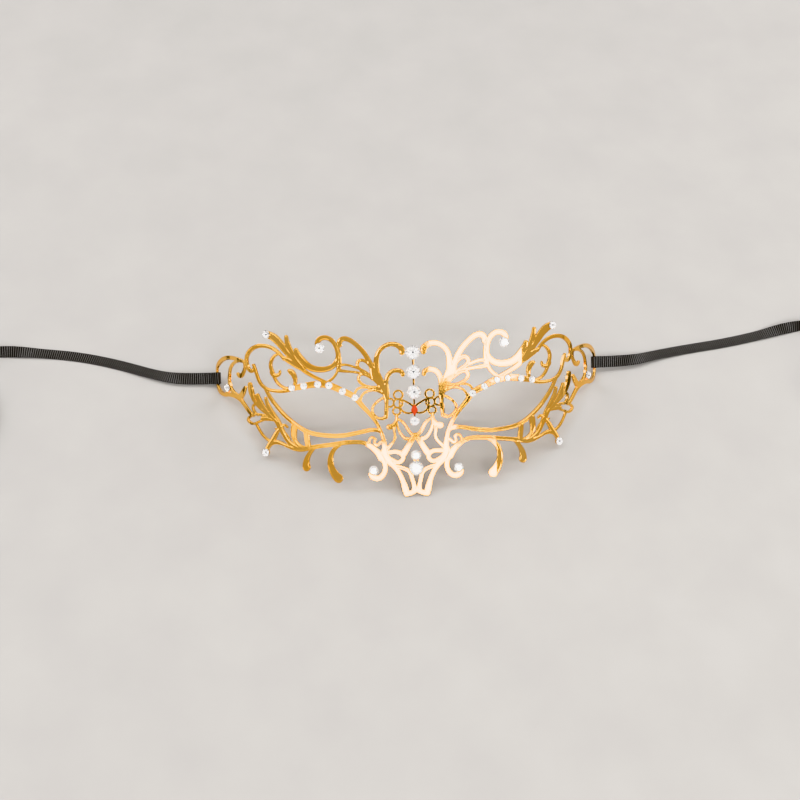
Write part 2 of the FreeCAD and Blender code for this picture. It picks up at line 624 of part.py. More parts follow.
def ribbon_section(centre, tangent, tilt):
    """Rectangle across a ribbon, its width tilted out of the level by an angle."""
    level = UP.cross(tangent).normalize()
    square = tangent.cross(level)
    half_width = (level * math.cos(tilt) + square * math.sin(tilt)) * (dim("ribbon_width") / 2)
    half_thick = tangent.cross(half_width).normalize() * (dim("ribbon_thick") / 2)
    corners = [
        centre + half_width * w + half_thick * t for w, t in ((1, 1), (-1, 1), (-1, -1), (1, -1))
    ]
    return Part.makePolygon(corners + corners[:1])


def tie(side_name, side, points):
    """Ribbon from the fold to the coil, twisting flat and then on edge."""
    path, radii = rounded_path(points)
    sections = []
    gone = 0.0
    for edge in path.Edges:
        steps = max(1, round(edge.Length / STATION_STEP))
        first, last = edge.ParameterRange
        for step in range(steps):
            at = first + (last - first) * step / steps
            sections.append((gone + edge.Length * step / steps, edge.valueAt(at), edge.tangentAt(at)))
        gone += edge.Length
    sections.append((gone, points[-1], path.Edges[-1].tangentAt(path.Edges[-1].LastParameter)))
    wires = []
    for distance, centre, tangent in sections:
        start_tilt = side * math.radians(lean) * (1 - smooth(distance / LEVEL_AFTER))
        end_tilt = side * math.pi / 2 * smooth((distance - gone + EDGE_WITHIN) / EDGE_WITHIN)
        wires.append(ribbon_section(centre, tangent, start_tilt + end_tilt))
    solid = Part.makeLoft(wires, True, True)
    expected = gone * dim("ribbon_width") * dim("ribbon_thick")
    print(f"{side_name} tie: length {gone:.1f}, radii " + " ".join(f"{r:.0f}" for r in radii))
    print(f"  volume {solid.Volume:.1f}, section times length {expected:.1f}")
    feature(f"{side_name}_ribbon_tie", solid)
    return sections[-1][1], sections[-1][2]


def coil(side_name, side, start, tangent):
    """Outer shape of the ribbon's turns on edge, with the straight piece that leads in."""
    name = f"{side_name}_ribbon_coil"
    height = {"Height": "Dimensions.ribbon_width"}
    half_band = "Dimensions.coil_band / 2"
    outside = {"Radius": f"Dimensions.coil_radius + {half_band}", **height}
    inside = {"Radius": f"Dimensions.coil_radius - {half_band}", **height}
    outer = bound("Part::Cylinder", name + "_outer", outside)
    inner = bound("Part::Cylinder", name + "_inner", inside)
    lead = bound("Part::Box", name + "_lead", {
        "Length": "Dimensions.coil_lead",
        "Width": "Dimensions.ribbon_thick",
        "Placement.Base.x": "-Dimensions.coil_lead",
        "Placement.Base.y": "Dimensions.coil_radius - Dimensions.ribbon_thick / 2",
        **height,
    })
    ring = joined("Part::Cut", name + "_ring", outer, inner)
    whole = joined("Part::Fuse", name, ring, lead)
    whole.Label = name
    turned = FreeCAD.Rotation(UP, math.degrees(math.atan2(tangent.y, tangent.x)))
    if side < 0:
        turned = turned.multiply(FreeCAD.Rotation(ALONG, 180))
    reach = Vector(-dim("coil_lead"), dim("coil_radius"), 0)
    corner = start - turned.multVec(reach)
    corner.z = 0 if side > 0 else dim("ribbon_width")
    whole.Placement = FreeCAD.Placement(corner, turned)
    nodes.append(whole)


for side_name, side in SIDES:
    fold_end = next(n for n in nodes if n.Label == f"{side_name}_ribbon_fold").Placement
    tail = dim("fold_tail")
    straight = [fold_end.multVec(ALONG * x) for x in (tail, tail + LEAD_OUT)]
    route = straight + [Vector(*point) for point in ROUTES[side_name]]
    end, heading = tie(side_name, side, route)
    coil(side_name, side, end, heading)

# ---------------------------------------------------------------- check and write

doc.recompute()
for part in doc.Objects:
    if "Invalid" in part.State or "Error" in part.State:
        raise SystemExit(f"{part.Name} failed: {part.State}")
for part in nodes:
    shape = part.Shape
    if shape.isNull() or not shape.isValid():
        raise SystemExit(f"{part.Label} has no valid shape")

os.makedirs("parts", exist_ok=True)
for part in nodes:
    part.Shape.exportStep(f"parts/{part.Label}.step")
print(f"{len(nodes)} pieces, lean {lean:.2f} degrees, stand {stand:.3f}, shift {shift:.3f}")
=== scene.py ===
import json
import math
import bpy
import numpy as np
from mathutils import Matrix, Vector
from mathutils.geometry import delaunay_2d_cdt


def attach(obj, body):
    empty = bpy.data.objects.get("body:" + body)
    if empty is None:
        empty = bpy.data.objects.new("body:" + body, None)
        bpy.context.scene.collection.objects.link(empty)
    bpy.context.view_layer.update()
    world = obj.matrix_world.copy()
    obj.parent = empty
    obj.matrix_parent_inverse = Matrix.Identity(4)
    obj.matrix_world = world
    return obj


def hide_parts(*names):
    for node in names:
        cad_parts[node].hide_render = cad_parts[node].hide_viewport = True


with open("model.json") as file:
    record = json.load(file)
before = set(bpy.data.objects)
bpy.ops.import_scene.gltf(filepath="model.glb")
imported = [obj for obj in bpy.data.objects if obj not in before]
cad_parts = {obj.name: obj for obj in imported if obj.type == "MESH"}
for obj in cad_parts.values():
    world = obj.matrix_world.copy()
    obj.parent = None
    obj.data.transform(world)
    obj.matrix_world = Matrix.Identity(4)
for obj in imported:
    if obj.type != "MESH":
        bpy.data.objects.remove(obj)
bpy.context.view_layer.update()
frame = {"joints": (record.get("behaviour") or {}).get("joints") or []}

MM = 0.001
TAU = 2 * math.pi
TINY = 1e-6
SIDES = (("left", -1), ("right", 1))


def unit(vectors):
    """Rows scaled to length one."""
    return vectors / np.maximum(np.linalg.norm(vectors, axis=1), TINY)[:, None]


def add_object(name, data):
    """New object in the scene."""
    added = bpy.data.objects.new(name, data)
    bpy.context.scene.collection.objects.link(added)
    return added


# ---------------------------------------------------------------- the mask's own frame
# Millimetres: X to the right, Y to the crown, Z out of the front, origin at the middle of the
# sheet's front face. The mask leans on the table, and the ribbon hinges give the lean.

SHEET_THICK = 1.0
BRIDGE_RADIUS, BRIDGE_HALF, TEMPLE_RADIUS = 545.0, 28.5, 76.0   # the sheet's bend
BAR_AT = 109.2                                                  # the ribbon's bar on the blank
BAR_UP = {-1: 11.6, 1: 13.0}                                    # the ribbon's middle on each side's bar

hinge = next(j for j in frame["joints"] if j["name"] == "right_ribbon_swing")
LEAN_ANGLE = math.atan2(hinge["axis"][2], hinge["axis"][1])
LEAN = np.array([
    [1, 0, 0],
    [0, math.cos(LEAN_ANGLE), -math.sin(LEAN_ANGLE)],
    [0, math.sin(LEAN_ANGLE), math.cos(LEAN_ANGLE)],
])


def bend_angle(along):
    """Slope of the sheet at distances along it from the middle."""
    bridge = np.minimum(np.abs(along), BRIDGE_HALF) / BRIDGE_RADIUS
    temple = np.maximum(np.abs(along) - BRIDGE_HALF, 0) / TEMPLE_RADIUS
    return np.sign(along) * (bridge + temple)


def bent(along, up, depth):
    """Points of the bent sheet, in the mask's own frame, at depths below its front face."""
    along, up, depth = np.broadcast_arrays(np.asarray(along, float), up, depth)
    angle = np.abs(bend_angle(along))
    bridge = np.minimum(np.abs(along), BRIDGE_HALF) / BRIDGE_RADIUS
    x = BRIDGE_RADIUS * np.sin(bridge) + TEMPLE_RADIUS * (np.sin(angle) - np.sin(bridge))
    z = -BRIDGE_RADIUS * (1 - np.cos(bridge)) - TEMPLE_RADIUS * (np.cos(bridge) - np.cos(angle))
    side = np.where(along < 0, -1.0, 1.0)
    return np.stack([side * (x - depth * np.sin(angle)), up, z - depth * np.cos(angle)], axis=-1)


# where the mask's own origin stands, from the hinge in the middle of the right bar
STAND = np.array(hinge["pos_m"]) / MM - LEAN @ bent(BAR_AT, BAR_UP[1], SHEET_THICK / 2)


def on_table(points):
    """From the mask's own frame to the shared frame, in metres."""
    return (np.asarray(points) @ LEAN.T + STAND) * MM


# ---------------------------------------------------------------- camera

CAMERA_DISTANCE = 568.75
CAMERA_YAW, CAMERA_PITCH, CAMERA_ROLL = 3.58, -5.35, 1.78      # degrees, against the mask's front
LENS, SENSOR = 56.25, 36.0
MASK_RIGHT, MASK_DOWN = 0.0178, 0.004       # the mask's middle off the picture's, over its width


def add_camera():
    """Camera that looks at the mask's middle from just off its own front."""
    yaw, pitch, roll = (math.radians(a) for a in (CAMERA_YAW, CAMERA_PITCH, CAMERA_ROLL))
    right = np.array([math.cos(yaw), 0, math.sin(yaw)])
    up = np.array([-math.sin(pitch) * math.sin(yaw), math.cos(pitch), math.sin(pitch) * math.cos(yaw)])
    back = np.cross(right, up)
    # turning the camera by the roll turns the picture the other way
    turned_right = right * math.cos(roll) - up * math.sin(roll)
    turned_up = right * math.sin(roll) + up * math.cos(roll)
    data = bpy.data.cameras.new("camera")
    data.sensor_width = SENSOR
    data.lens = LENS
    data.shift_x = -MASK_RIGHT
    data.shift_y = MASK_DOWN
    camera = add_object("camera", data)
    place = np.eye(4)
    place[:3, :3] = LEAN @ np.column_stack([turned_right, turned_up, back])
    place[:3, 3] = on_table(back * CAMERA_DISTANCE)
    camera.matrix_world = Matrix(place.tolist())
    bpy.context.scene.camera = camera


add_camera()

# ---------------------------------------------------------------- materials and pieces

BLEND_FROM, BLEND_TO = 0.3, 0.7            # part of the noise's range over which two colours blend


def new_material(name, color, roughness, metallic=0.0):
    material = bpy.data.materials.new(name)
    material.use_nodes = True
    shader = material.node_tree.nodes["Principled BSDF"]
    shader.inputs["Base Color"].default_value = (*color, 1)
    shader.inputs["Roughness"].default_value = roughness
    shader.inputs["Metallic"].default_value = metallic
    return material, shader


def noise(shader, scale, detail=3.0):
    """Noise texture in object space; its scale is per metre."""
    tree = shader.id_data
    place = tree.nodes.new("ShaderNodeTexCoord")
    texture = tree.nodes.new("ShaderNodeTexNoise")
    texture.inputs["Scale"].default_value = scale
    texture.inputs["Detail"].default_value = detail
    tree.links.new(place.outputs["Object"], texture.inputs["Vector"])
    return texture.outputs["Fac"]


def mottle(shader, scale, low, high):
    """Lets noise move the colour between two colours."""
    tree = shader.id_data
    node = tree.nodes.new("ShaderNodeValToRGB")
    first, last = node.color_ramp.elements
    first.position, last.position = BLEND_FROM, BLEND_TO
    first.color, last.color = (*low, 1), (*high, 1)
    tree.links.new(noise(shader, scale), node.inputs["Fac"])
    tree.links.new(node.outputs["Color"], shader.inputs["Base Color"])


def dull(shader, scale, low, high):
    """Lets noise move the roughness between two values."""
    tree = shader.id_data
    node = tree.nodes.new("ShaderNodeMapRange")
    node.inputs["To Min"].default_value = low
    node.inputs["To Max"].default_value = high
    tree.links.new(noise(shader, scale), node.inputs["Value"])
    tree.links.new(node.outputs["Result"], shader.inputs["Roughness"])


def bump(shader, scale, detail, distance, strength):
    """Lets noise raise the surface by a distance in metres."""
    tree = shader.id_data
    node = tree.nodes.new("ShaderNodeBump")
    node.inputs["Strength"].default_value = strength
    node.inputs["Distance"].default_value = distance
    tree.links.new(noise(shader, scale, detail), node.inputs["Height"])
    tree.links.new(node.outputs["Normal"], shader.inputs["Normal"])


def gold_material():
    material, shader = new_material("gold_plate", (0.93, 0.55, 0.18), 0.04, metallic=1.0)
    mottle(shader, 60, (0.93, 0.49, 0.1), (0.95, 0.57, 0.17))
    dull(shader, 900, 0.02, 0.06)
    bump(shader, 350, detail=1.0, distance=0.02 * MM, strength=0.3)
    return material


def glass_material():
    material, shader = new_material("cut_glass", (0.97, 0.98, 1.0), 0.02)
    shader.inputs["Transmission Weight"].default_value = 1.0
    shader.inputs["IOR"].default_value = 1.58
    dull(shader, 2500, 0.0, 0.04)
    return material


def foil_material():
    material, shader = new_material("silver_foil", (0.96, 0.95, 0.94), 0.25, metallic=0.55)
    dull(shader, 3000, 0.2, 0.32)
    return material


# near-black stand-in for the camera mirrored in each stone's middle: a painted reflection
def culet_painted_reflection_material():
    material, shader = new_material("culet_painted_dark_reflection", (0.02, 0.02, 0.02), 0.3)
    dull(shader, 4000, 0.2, 0.4)
    return material


def enamel_material():
    material, shader = new_material("red_enamel", (0.5, 0.06, 0.02), 0.5)
    shader.inputs["Specular IOR Level"].default_value = 0.15
    mottle(shader, 1500, (0.4, 0.035, 0.01), (0.58, 0.075, 0.02))
    return material


def ribbon_material(name, dark, light, specular=0.5):
    """Black yarn. A darker, less specular copy of it is painted shade in the grooves between ribs, where
    little light comes back out.
    """
    material, shader = new_material(name, dark, 0.5)
    shader.inputs["Specular IOR Level"].default_value = specular
    shader.inputs["Sheen Weight"].default_value = 0.04
    shader.inputs["Sheen Roughness"].default_value = 0.4
    mottle(shader, 4000, dark, light)
    dull(shader, 2500, 0.32, 0.45)
    bump(shader, 9000, detail=2.0, distance=0.04 * MM, strength=0.4)
    return material


def floor_material():
    material, shader = new_material("pale_floor", (0.36, 0.35, 0.34), 0.7)
    mottle(shader, 30, (0.35, 0.34, 0.33), (0.37, 0.36, 0.35))
    return material


GOLD = gold_material()
GLASS = glass_material()
FOIL = foil_material()
CULET_PAINTED_REFLECTION = culet_painted_reflection_material()
ENAMEL = enamel_material()
RIBBON = ribbon_material("black_grosgrain", (0.035, 0.032, 0.029), (0.06, 0.055, 0.05))
# darker, less specular copy of the yarn for the grooves between ribs: painted shade
GROOVE_SHADE = ribbon_material("black_grosgrain_groove_painted_shade", (0.001, 0.001, 0.001), (0.003, 0.003, 0.002), 0.1)
THREAD = ribbon_material("black_thread", (0.01, 0.01, 0.01), (0.03, 0.03, 0.03))


def add_piece(name, vertices, faces, body, node, materials):
    """Mesh piece from points in metres, riding on a body in place of a CAD node."""
    mesh = bpy.data.meshes.new(name)
    mesh.from_pydata([tuple(v) for v in vertices], [], faces)
    for material in materials:
        mesh.materials.append(material)
    piece = add_object(name, mesh)
    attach(piece, body)
    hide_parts(node)
    return piece


def tube_faces(sections, around, first=0):
    """Side quads and end caps of a tube whose sections are rings of points."""
    faces = []
    for section in range(sections - 1):
        here = first + section * around
        there = here + around
        for k in range(around):
            after = (k + 1) % around
            faces.append((here + k, here + after, there + after, there + k))
    last = first + (sections - 1) * around
    faces.append(tuple(range(first, first + around))[::-1])
    faces.append(tuple(range(last, last + around)))
    return faces


# ---------------------------------------------------------------- the filigree pattern

PAD_SHARE = 0.86           # diameter of the metal pad under a stone, over the stone's
# diameter of each kind of stone
STONE_SIZE = {"large": 6.6, "nose": 6.9, "bridge": 4.8, "scroll": 4.8, "medium": 4.5,
              "small": 3.8, "brow": 3.4}

# One half of the pattern, on the flat blank: each scroll is a line of (along, up, width) points
# from the mask's middle. The other half is its mirror image.
SCROLLS = [
    # crown scroll, second scroll, arch leaf and the plate they grow from
    [(12.5, 3, 2.4), (14.5, 8, 3), (16.5, 13, 3.4), (16.8, 18, 2.6), (15.7, 23.3, 2), (12.8, 26.3, 2),
     (9.2, 27.2, 2.1), (6.6, 26.4, 2.5), (5, 24.8, 2.8), (4.9, 23.3, 2.4)],
    [(12.5, 2.5, 2.2), (12.5, 8.5, 2.2), (12, 12, 2), (10, 14.6, 1.9), (7.6, 15.2, 2),
     (5.4, 14.5, 2.1), (4.8, 13.2, 1.9)],
    [(32.9, 27.3, 1.9), (32.9, 28.9, 2.4), (31.6, 30.2, 2.4), (29.4, 30.1, 2.3), (26, 27.9, 2.2),
     (22.5, 24.2, 2.2), (20, 20, 2.4), (18, 15, 2.6)],
    [(12.7, 3, 2.4), (14.5, 9, 3.4), (17, 13, 4.8), (18.5, 16.5, 2.6)],
    # almond petals of the fan
    [(34, 18, 1.6), (30.5, 18.5, 1.1), (27, 17.5, 1.1), (23.5, 16, 1.2), (20, 13.5, 1.5)],
    [(33.5, 16, 1.6), (28.5, 15.3, 1.1), (24, 14.5, 1.2), (20, 12.8, 1.5)],
    [(21, 14, 1.6), (24.2, 16.4, 1.4), (25.3, 18.6, 1.5), (24.3, 20.2, 1.5), (22.4, 20.2, 1.5),
     (20.2, 18.6, 1.5), (18.2, 15.8, 1.8)],
    [(15, 7.5, 2.4), (20, 8, 1.4), (23.5, 9.6, 1.3), (25, 12, 1.3), (24, 13.8, 1.3), (21.4, 13.5, 1.3),
     (18.5, 11.6, 1.4)],
    # loop from the fan to the inner end of the brow
    [(26.6, 3.6, 1), (26.5, 6.2, 1), (24.8, 7.7, 1), (22, 8, 1.1), (17.5, 6.8, 1.4), (13.5, 5, 1.8)],
    [(24.3, 2.4, 1), (22.8, 5.2, 1), (20, 6.5, 1.2), (16, 6.2, 1.4)],
    # big upper scroll, running on into the third leaf, and the stem beside it
    [(42.9, 27.2, 2), (43.2, 29, 2.3), (41.9, 30.5, 2.3), (39.5, 31.1, 2.2), (37, 30.1, 2.1),
     (35.2, 27.9, 2), (34.3, 25.3, 1.9), (34, 23, 1.9), (34.5, 20.4, 2.1), (36.5, 18, 2.4),
     (39.5, 16.8, 2.6), (43.3, 16.7, 2.8), (48, 18.3, 3.2), (51, 21.2, 3.1), (53.1, 23.9, 2.9),
     (53.7, 25.7, 2)],
    [(34, 28.2, 1.2), (33.4, 24.5, 1.3), (33.3, 20.5, 1.6), (33.8, 17, 2.2)],
    # second leaf, first leaf up to its stone, and the body they share
    [(58.4, 31.8, 1.7), (57.7, 28.2, 2.5), (56, 24.6, 2.4), (53.5, 21, 2), (50.8, 18, 1.8)],
    [(68, 32.8, 3.3), (64.7, 31.3, 3.8), (61.3, 28.2, 3.5), (58, 24.4, 3), (55, 21.3, 2.4), (51, 18, 2.2)],
    [(61, 22.6, 1.2), (58, 21.2, 2.6), (54, 19, 3), (50.5, 17, 2.4)],
    # struts from the leaves and the scroll down to the brow
    [(51, 17, 2), (46.2, 13.8, 1.6), (42.5, 12, 1.5), (39, 10.2, 1.5)],
    [(34, 17.2, 1.2), (36, 13.2, 1.2), (38.8, 11, 1.2)],
    # outer scroll and the tail that runs from it to the outer end of the brow
    [(60, 21.5, 1.4), (63.3, 25, 1.5), (67, 27, 1.7), (71.5, 27.8, 1.9), (75.7, 27.3, 2),
     (79.6, 25.4, 2), (82, 22.2, 2), (82, 19.3, 1.9), (80.8, 16.8, 1.8), (78.6, 16, 1.8), (77.2, 17.6, 1.6)],
    [(77.6, 18.8, 1.3), (76.2, 15.4, 1.5), (75, 12.4, 1.5), (73, 9.6, 1.5), (70, 7.8, 1.5), (66, 7, 1.5),
     (60, 7, 1.7), (56, 8.2, 2.2)],
    # inner curl with its leaf, and the small bud on the outermost brow stone
    [(62, 24, 1.2), (64.5, 23.4, 1.3), (66.7, 21.2, 1.5), (67.4, 18.4, 1.6), (66.5, 15.5, 1.8),
     (65.4, 12.8, 1.4), (63.4, 10.2, 1.3), (60.8, 8.6, 1.3), (57, 8, 1.6)],
    [(67, 15.6, 1.8), (65, 14, 2), (63, 14.6, 1.4), (62.4, 16.2, 0.8)],
    [(57.6, 16.3, 1.6), (56.4, 15.6, 2.7), (55.1, 13.8, 2.4), (54.7, 11, 1.6), (56, 8.4, 1.6)],
    # end scroll with the ribbon bar, the arc inside it and its hook
    [(84, 20.3, 1.5), (89, 21.4, 1.8), (94.8, 22, 2), (101.5, 21, 2.2), (106.3, 18.9, 2.2),
     (108.7, 16.8, 1.6), (109.2, 14.8, 1.4), (109.2, 11.8, 1.4), (109.2, 9, 1.4), (108, 6.8, 2.1),
     (104, 4.6, 1.9), (99, 4.2, 2)],
    [(97.3, 7.4, 2.2), (98.8, 4.6, 2.4)],
    [(84, 20.3, 1.2), (88.5, 20.4, 1.3), (92.3, 19.2, 1.4), (94.9, 16.8, 1.5), (96, 13.6, 1.6),
     (96.2, 10, 1.7), (94.8, 7.2, 1.9), (92, 5, 2), (88, 3.6, 2.2)],
    [(84, 20.3, 1.2), (83.5, 17.8, 1.4), (84.5, 15.4, 1.6), (86.7, 13.6, 2.2), (88.8, 14.4, 1.6)],
    # side garland: strand, thorn and three leaves
    [(99, 4.2, 2), (92.5, 4, 2), (87, 1.9, 2), (83, -1.9, 1.8), (79.3, -4.8, 1.6)],
    [(88, 3.2, 3), (85.3, 6, 2.6), (83.8, 8.2, 1.5)],
    [(80.5, 9.6, 2.4), (79.9, 6.6, 3), (78.2, 2.8, 2.3), (75.2, -0.5, 1.7), (71.5, -3, 1.6)],
    [(75.9, 4.6, 2.1), (74.1, 1, 2.8), (70.5, -3, 2.2), (66.5, -6.2, 1.9), (63.5, -9.8, 1.8)],
    [(70.9, 3.4, 1.6), (69.2, -0.8, 2.1), (66, -4.8, 1.8), (63.2, -9, 1.6)],
    [(76.8, 0.6, 1.2), (79.2, -1.3, 1.2), (78.2, -3.2, 1.2), (75.6, -4.4, 1.2)],
    # tulip and the thin strand below it
    [(73.2, -6, 2.2), (70.5, -6, 2.2), (67.3, -6.6, 1.2)],
    [(77.6, -8.4, 1.1), (75.6, -11.5, 1.1), (72.2, -15, 1.1), (68.6, -16.6, 1.4)],
    # lower rim of the eye
    [(72.2, 9.4, 0.9), (70.2, 6.6, 1.5), (68.2, 3.7, 1.7), (65, 0, 1.8), (61.4, -3.7, 1.9),
     (57.4, -7, 1.9), (53, -10, 1.9), (49.2, -11.9, 2), (45.4, -12.9, 2), (41, -13.5, 2),
     (36.5, -13.8, 2), (32, -13.6, 2), (27.4, -12.9, 2), (22.8, -12, 1.9), (18.4, -11.6, 1.8),
     (15.8, -12.4, 1.6)],
    # brow band, thinning down the side of the nose
    [(57.5, 8.2, 2.4), (50, 9.3, 2.8), (43.5, 10, 3), (38, 9.2, 3), (32, 6.5, 2.8), (26.8, 3.5, 2.6),
     (24, 0, 2.2), (21, -3.4, 1.9), (18, -7.5, 1.6), (15.5, -12.6, 1.4)],
    [(15.5, -12.4, 1.4), (14.4, -16.8, 1.7), (14, -21.6, 2.6)],
    # lower cluster: node with its hooks, branch to the stone, and the band's first leaf
    [(66, -6.4, 1.8), (63.6, -9.6, 2.8), (61.6, -13, 2.2), (59.2, -16.4, 2.2), (56, -18.7, 2.2),
     (53, -19.6, 2.2)],
    [(63, -10.6, 1.6), (61.2, -8.8, 1.2), (59.6, -9.8, 0.8)],
    [(63.6, -11, 1.4), (66, -10.6, 0.8)],
    [(60.8, -12.8, 1.2), (58.8, -15, 0.8)],
    [(64, -10.8, 1.6), (66.3, -13.6, 2.2), (68, -16.2, 2.6), (70.2, -18.6, 2.2), (71.8, -21.4, 1.8)],
    # two broad leaves that tie the lower band to the rim of the eye
    [(56, -9.6, 3.2), (56.5, -13, 2.8), (56, -15.8, 1.9), (54, -18, 1.6), (51, -19.2, 1.6)],
    [(50.2, -12.6, 2.4), (49.9, -15.6, 2.4), (49.4, -18.6, 2.6)],
    # lower band, out of the side of the nose
    [(69, -17.6, 2.4), (65, -16.9, 2), (61.8, -17.8, 1.5), (58.5, -19, 1.8), (53.4, -19.9, 2.4),
     (48.5, -19.2, 2.2), (43.7, -18.4, 1.9), (36.7, -17.6, 2.1), (32, -17, 2.1), (27.5, -16.9, 2),
     (23, -17.6, 1.9), (20.2, -19.3, 2), (17.6, -21.7, 2.4), (15.7, -24.6, 3)],
    # two drops hanging from the band, and the scroll beside the nose
    [(46.8, -19.2, 1.8), (49.3, -22.4, 2.1), (50.7, -25.6, 2.9), (50.7, -28.2, 3.8)],
    [(34.5, -18, 1.6), (38, -21.2, 2.1), (39.2, -25.7, 2.7), (38.2, -30, 3.4), (35.7, -33.4, 4.3)],
    [(17.4, -21.8, 2.4), (14.9, -25.4, 2.1), (14.1, -28.8, 1.9), (14.9, -31.8, 2), (17.3, -33.8, 2.3),
     (19.8, -33.2, 2.5), (20.6, -31, 2)],
    [(21, -18.8, 1.2), (21, -16.3, 1.1), (19.7, -15, 1.1), (18.4, -15.8, 1.1), (18.7, -17.6, 1),
     (17.8, -18.6, 1), (16, -17.4, 1), (14.6, -17, 1)],
    # oval loop between brow and nose, and the band beside the knot
    [(12.6, 3.2, 1.4), (17.3, 0.8, 1.1), (19.2, -2.4, 1.1), (18, -5.2, 1.2), (15.8, -6.5, 1.3),
     (13, -5.6, 1.8)],
    [(12.7, 4, 2.4), (12.6, 0, 1.8), (12.8, -3, 2), (13, -6, 1.6)],
    # stem of the knot, its knob, and the two sides of the long leaf that meets the nose
    [(8.2, -5, 1.2), (8.3, -7.4, 1.4), (9.3, -9.4, 2), (11.7, -10.5, 2.6)],
    [(9.4, -9.6, 1.6), (9.4, -13, 1.1), (9.4, -16, 1), (11, -18.4, 1), (13, -20.4, 1.4)],
    [(8.3, -7, 1.2), (6, -8, 1.1), (3.6, -11.2, 1.2), (1.9, -13.8, 1.4), (0, -15, 2)],
    [(8.4, -8.4, 1), (8, -10.4, 1), (6.9, -13.2, 1.1), (5.5, -15.2, 1.2), (3, -16.4, 1.6)],
    # V of the nose, running down to the drop
    [(0, -14.8, 2.6), (2, -17.3, 2.2), (3.6, -20, 2.2), (5.6, -23, 2.6)],
    # side wall of the nose, the wall inside it and its lower edge
    [(14.2, -21.6, 3), (12.8, -25.4, 3), (9.8, -28.8, 2.2), (7.8, -32, 1.8), (6.2, -35.8, 2),
     (5.2, -39.4, 2.8), (4.6, -41.4, 2.4)],
    [(9.4, -28.8, 1.6), (5.6, -29.8, 1.4), (3, -31.6, 1.6), (2, -34.6, 1.5), (1.3, -37.4, 1.6),
     (1.2, -39.6, 2)],
    [(4.8, -41.4, 2.4), (2.4, -41, 2), (0, -39.4, 2.2)],
]

# Closed rings of the pattern, as points on each ring's centre line, with its width
RINGS = [
    (1.2, [(70, -5.2), (75.6, -4.2), (80.2, -5), (82.7, -7), (80.6, -8.5), (76, -7.8)]),   # tulip
    (0.9, [(6.2, 1.6), (3, 0.4), (0.4, -2), (0.9, -4), (3.4, -4.4), (6, -2.6)]),           # bow
    (1.6, [(14.6, -22.8), (10.5, -22), (7, -22.7), (5.8, -24.8), (7.6, -26.8), (10.8, -25.8)]),  # nose drop
]

# Round loops of the knot: centre along, centre up, radius of the centre line, wire width
KNOT_LOOPS = [
    (7.2, 4, 2, 0.9),
    (11.2, 0.6, 1.9, 0.9),
    (7.4, 0.2, 2, 0.9),
    (8.1, -3.4, 1.7, 0.9),
]
# Strokes on the centre line: the stem behind the centre stones, and the tie between nose stones
CENTRE_SCROLLS = [
    [(0, 23.2, 0.8), (0, 8, 0.8), (0, -8.1, 0.8)],
    [(0, -24.4, 2), (0, -29.6, 2)],
]

# Stones: name, kind and place on the flat blank
CENTRE_STONES = [
    ("crown_stone", "large", 23.2),
    ("upper_centre_stone", "large", 14.4),
    ("lower_centre_stone", "large", 5.2),
    ("bow_stone", "medium", -8.1),
    ("bridge_stone", "bridge", -23.8),
    ("nose_stone", "nose", -29.75),
]
SIDE_STONES = [
    ("brow_stone_1", "brow", 26.8, 3.5),
    ("brow_stone_2", "brow", 32.4, 6.5),
    ("brow_stone_3", "brow", 38.5, 9.3),
    ("brow_stone_4", "brow", 43.7, 9.9),
    ("brow_stone_5", "brow", 50.4, 9.3),
    ("brow_stone_6", "brow", 56.3, 8.4),
    ("tip_stone", "small", 68.9, 33),
    ("scroll_stone", "scroll", 42.2, 26.4),
    ("side_stone", "small", 97.3, 7.6),
    ("cheek_stone", "small", 71.8, -21.8),
    ("nose_scroll_stone", "medium", 19.5, -30.2),
]

# ---------------------------------------------------------------- outline of the filigree
# The pattern is kept as a field: the distance from every point of a grid on the flat blank to the
# edge of the metal, negative inside it.

GRID = 0.25
HALF_LENGTH, HALF_WIDTH = 113.0, 44.0      # of the grid, a little more than the blank's
FAR = 9.0                                  # the field's value away from all metal
STAMP_STEP = 0.12                          # spacing of the discs that a stroke is made of
STAMP_MARGIN = 1.2                         # how far round a disc the field is worked out
RING_LAP = 3                               # points of a ring repeated at each end of its spline
COLUMNS = np.arange(-HALF_LENGTH, HALF_LENGTH + GRID / 2, GRID)
ROWS = np.arange(-HALF_WIDTH, HALF_WIDTH + GRID / 2, GRID)


def end_slope(knots, values):
    """Slope at the first knot of the cubic through the first four values."""
    count = min(4, len(knots))
    fit = np.polyfit(knots[:count] - knots[0], values[:count], count - 1)
    return fit[-2]


def spline_curvature(knots, values):
    """Second derivatives at the knots of the cubic spline through values."""
    gaps = np.diff(knots)
    slopes = np.diff(values, axis=0) / gaps[:, None]
    count = len(knots)
    system = np.zeros((count, count))
    wanted = np.zeros((count, 2))
    for i in range(1, count - 1):
        system[i, i - 1:i + 2] = gaps[i - 1], 2 * (gaps[i - 1] + gaps[i]), gaps[i]
        wanted[i] = 6 * (slopes[i] - slopes[i - 1])
    system[0, :2] = 2 * gaps[0], gaps[0]
    wanted[0] = 6 * (slopes[0] - end_slope(knots, values))
    system[-1, -2:] = gaps[-1], 2 * gaps[-1]
    wanted[-1] = 6 * (-end_slope(-knots[::-1], values[::-1]) - slopes[-1])
    return np.linalg.solve(system, wanted)


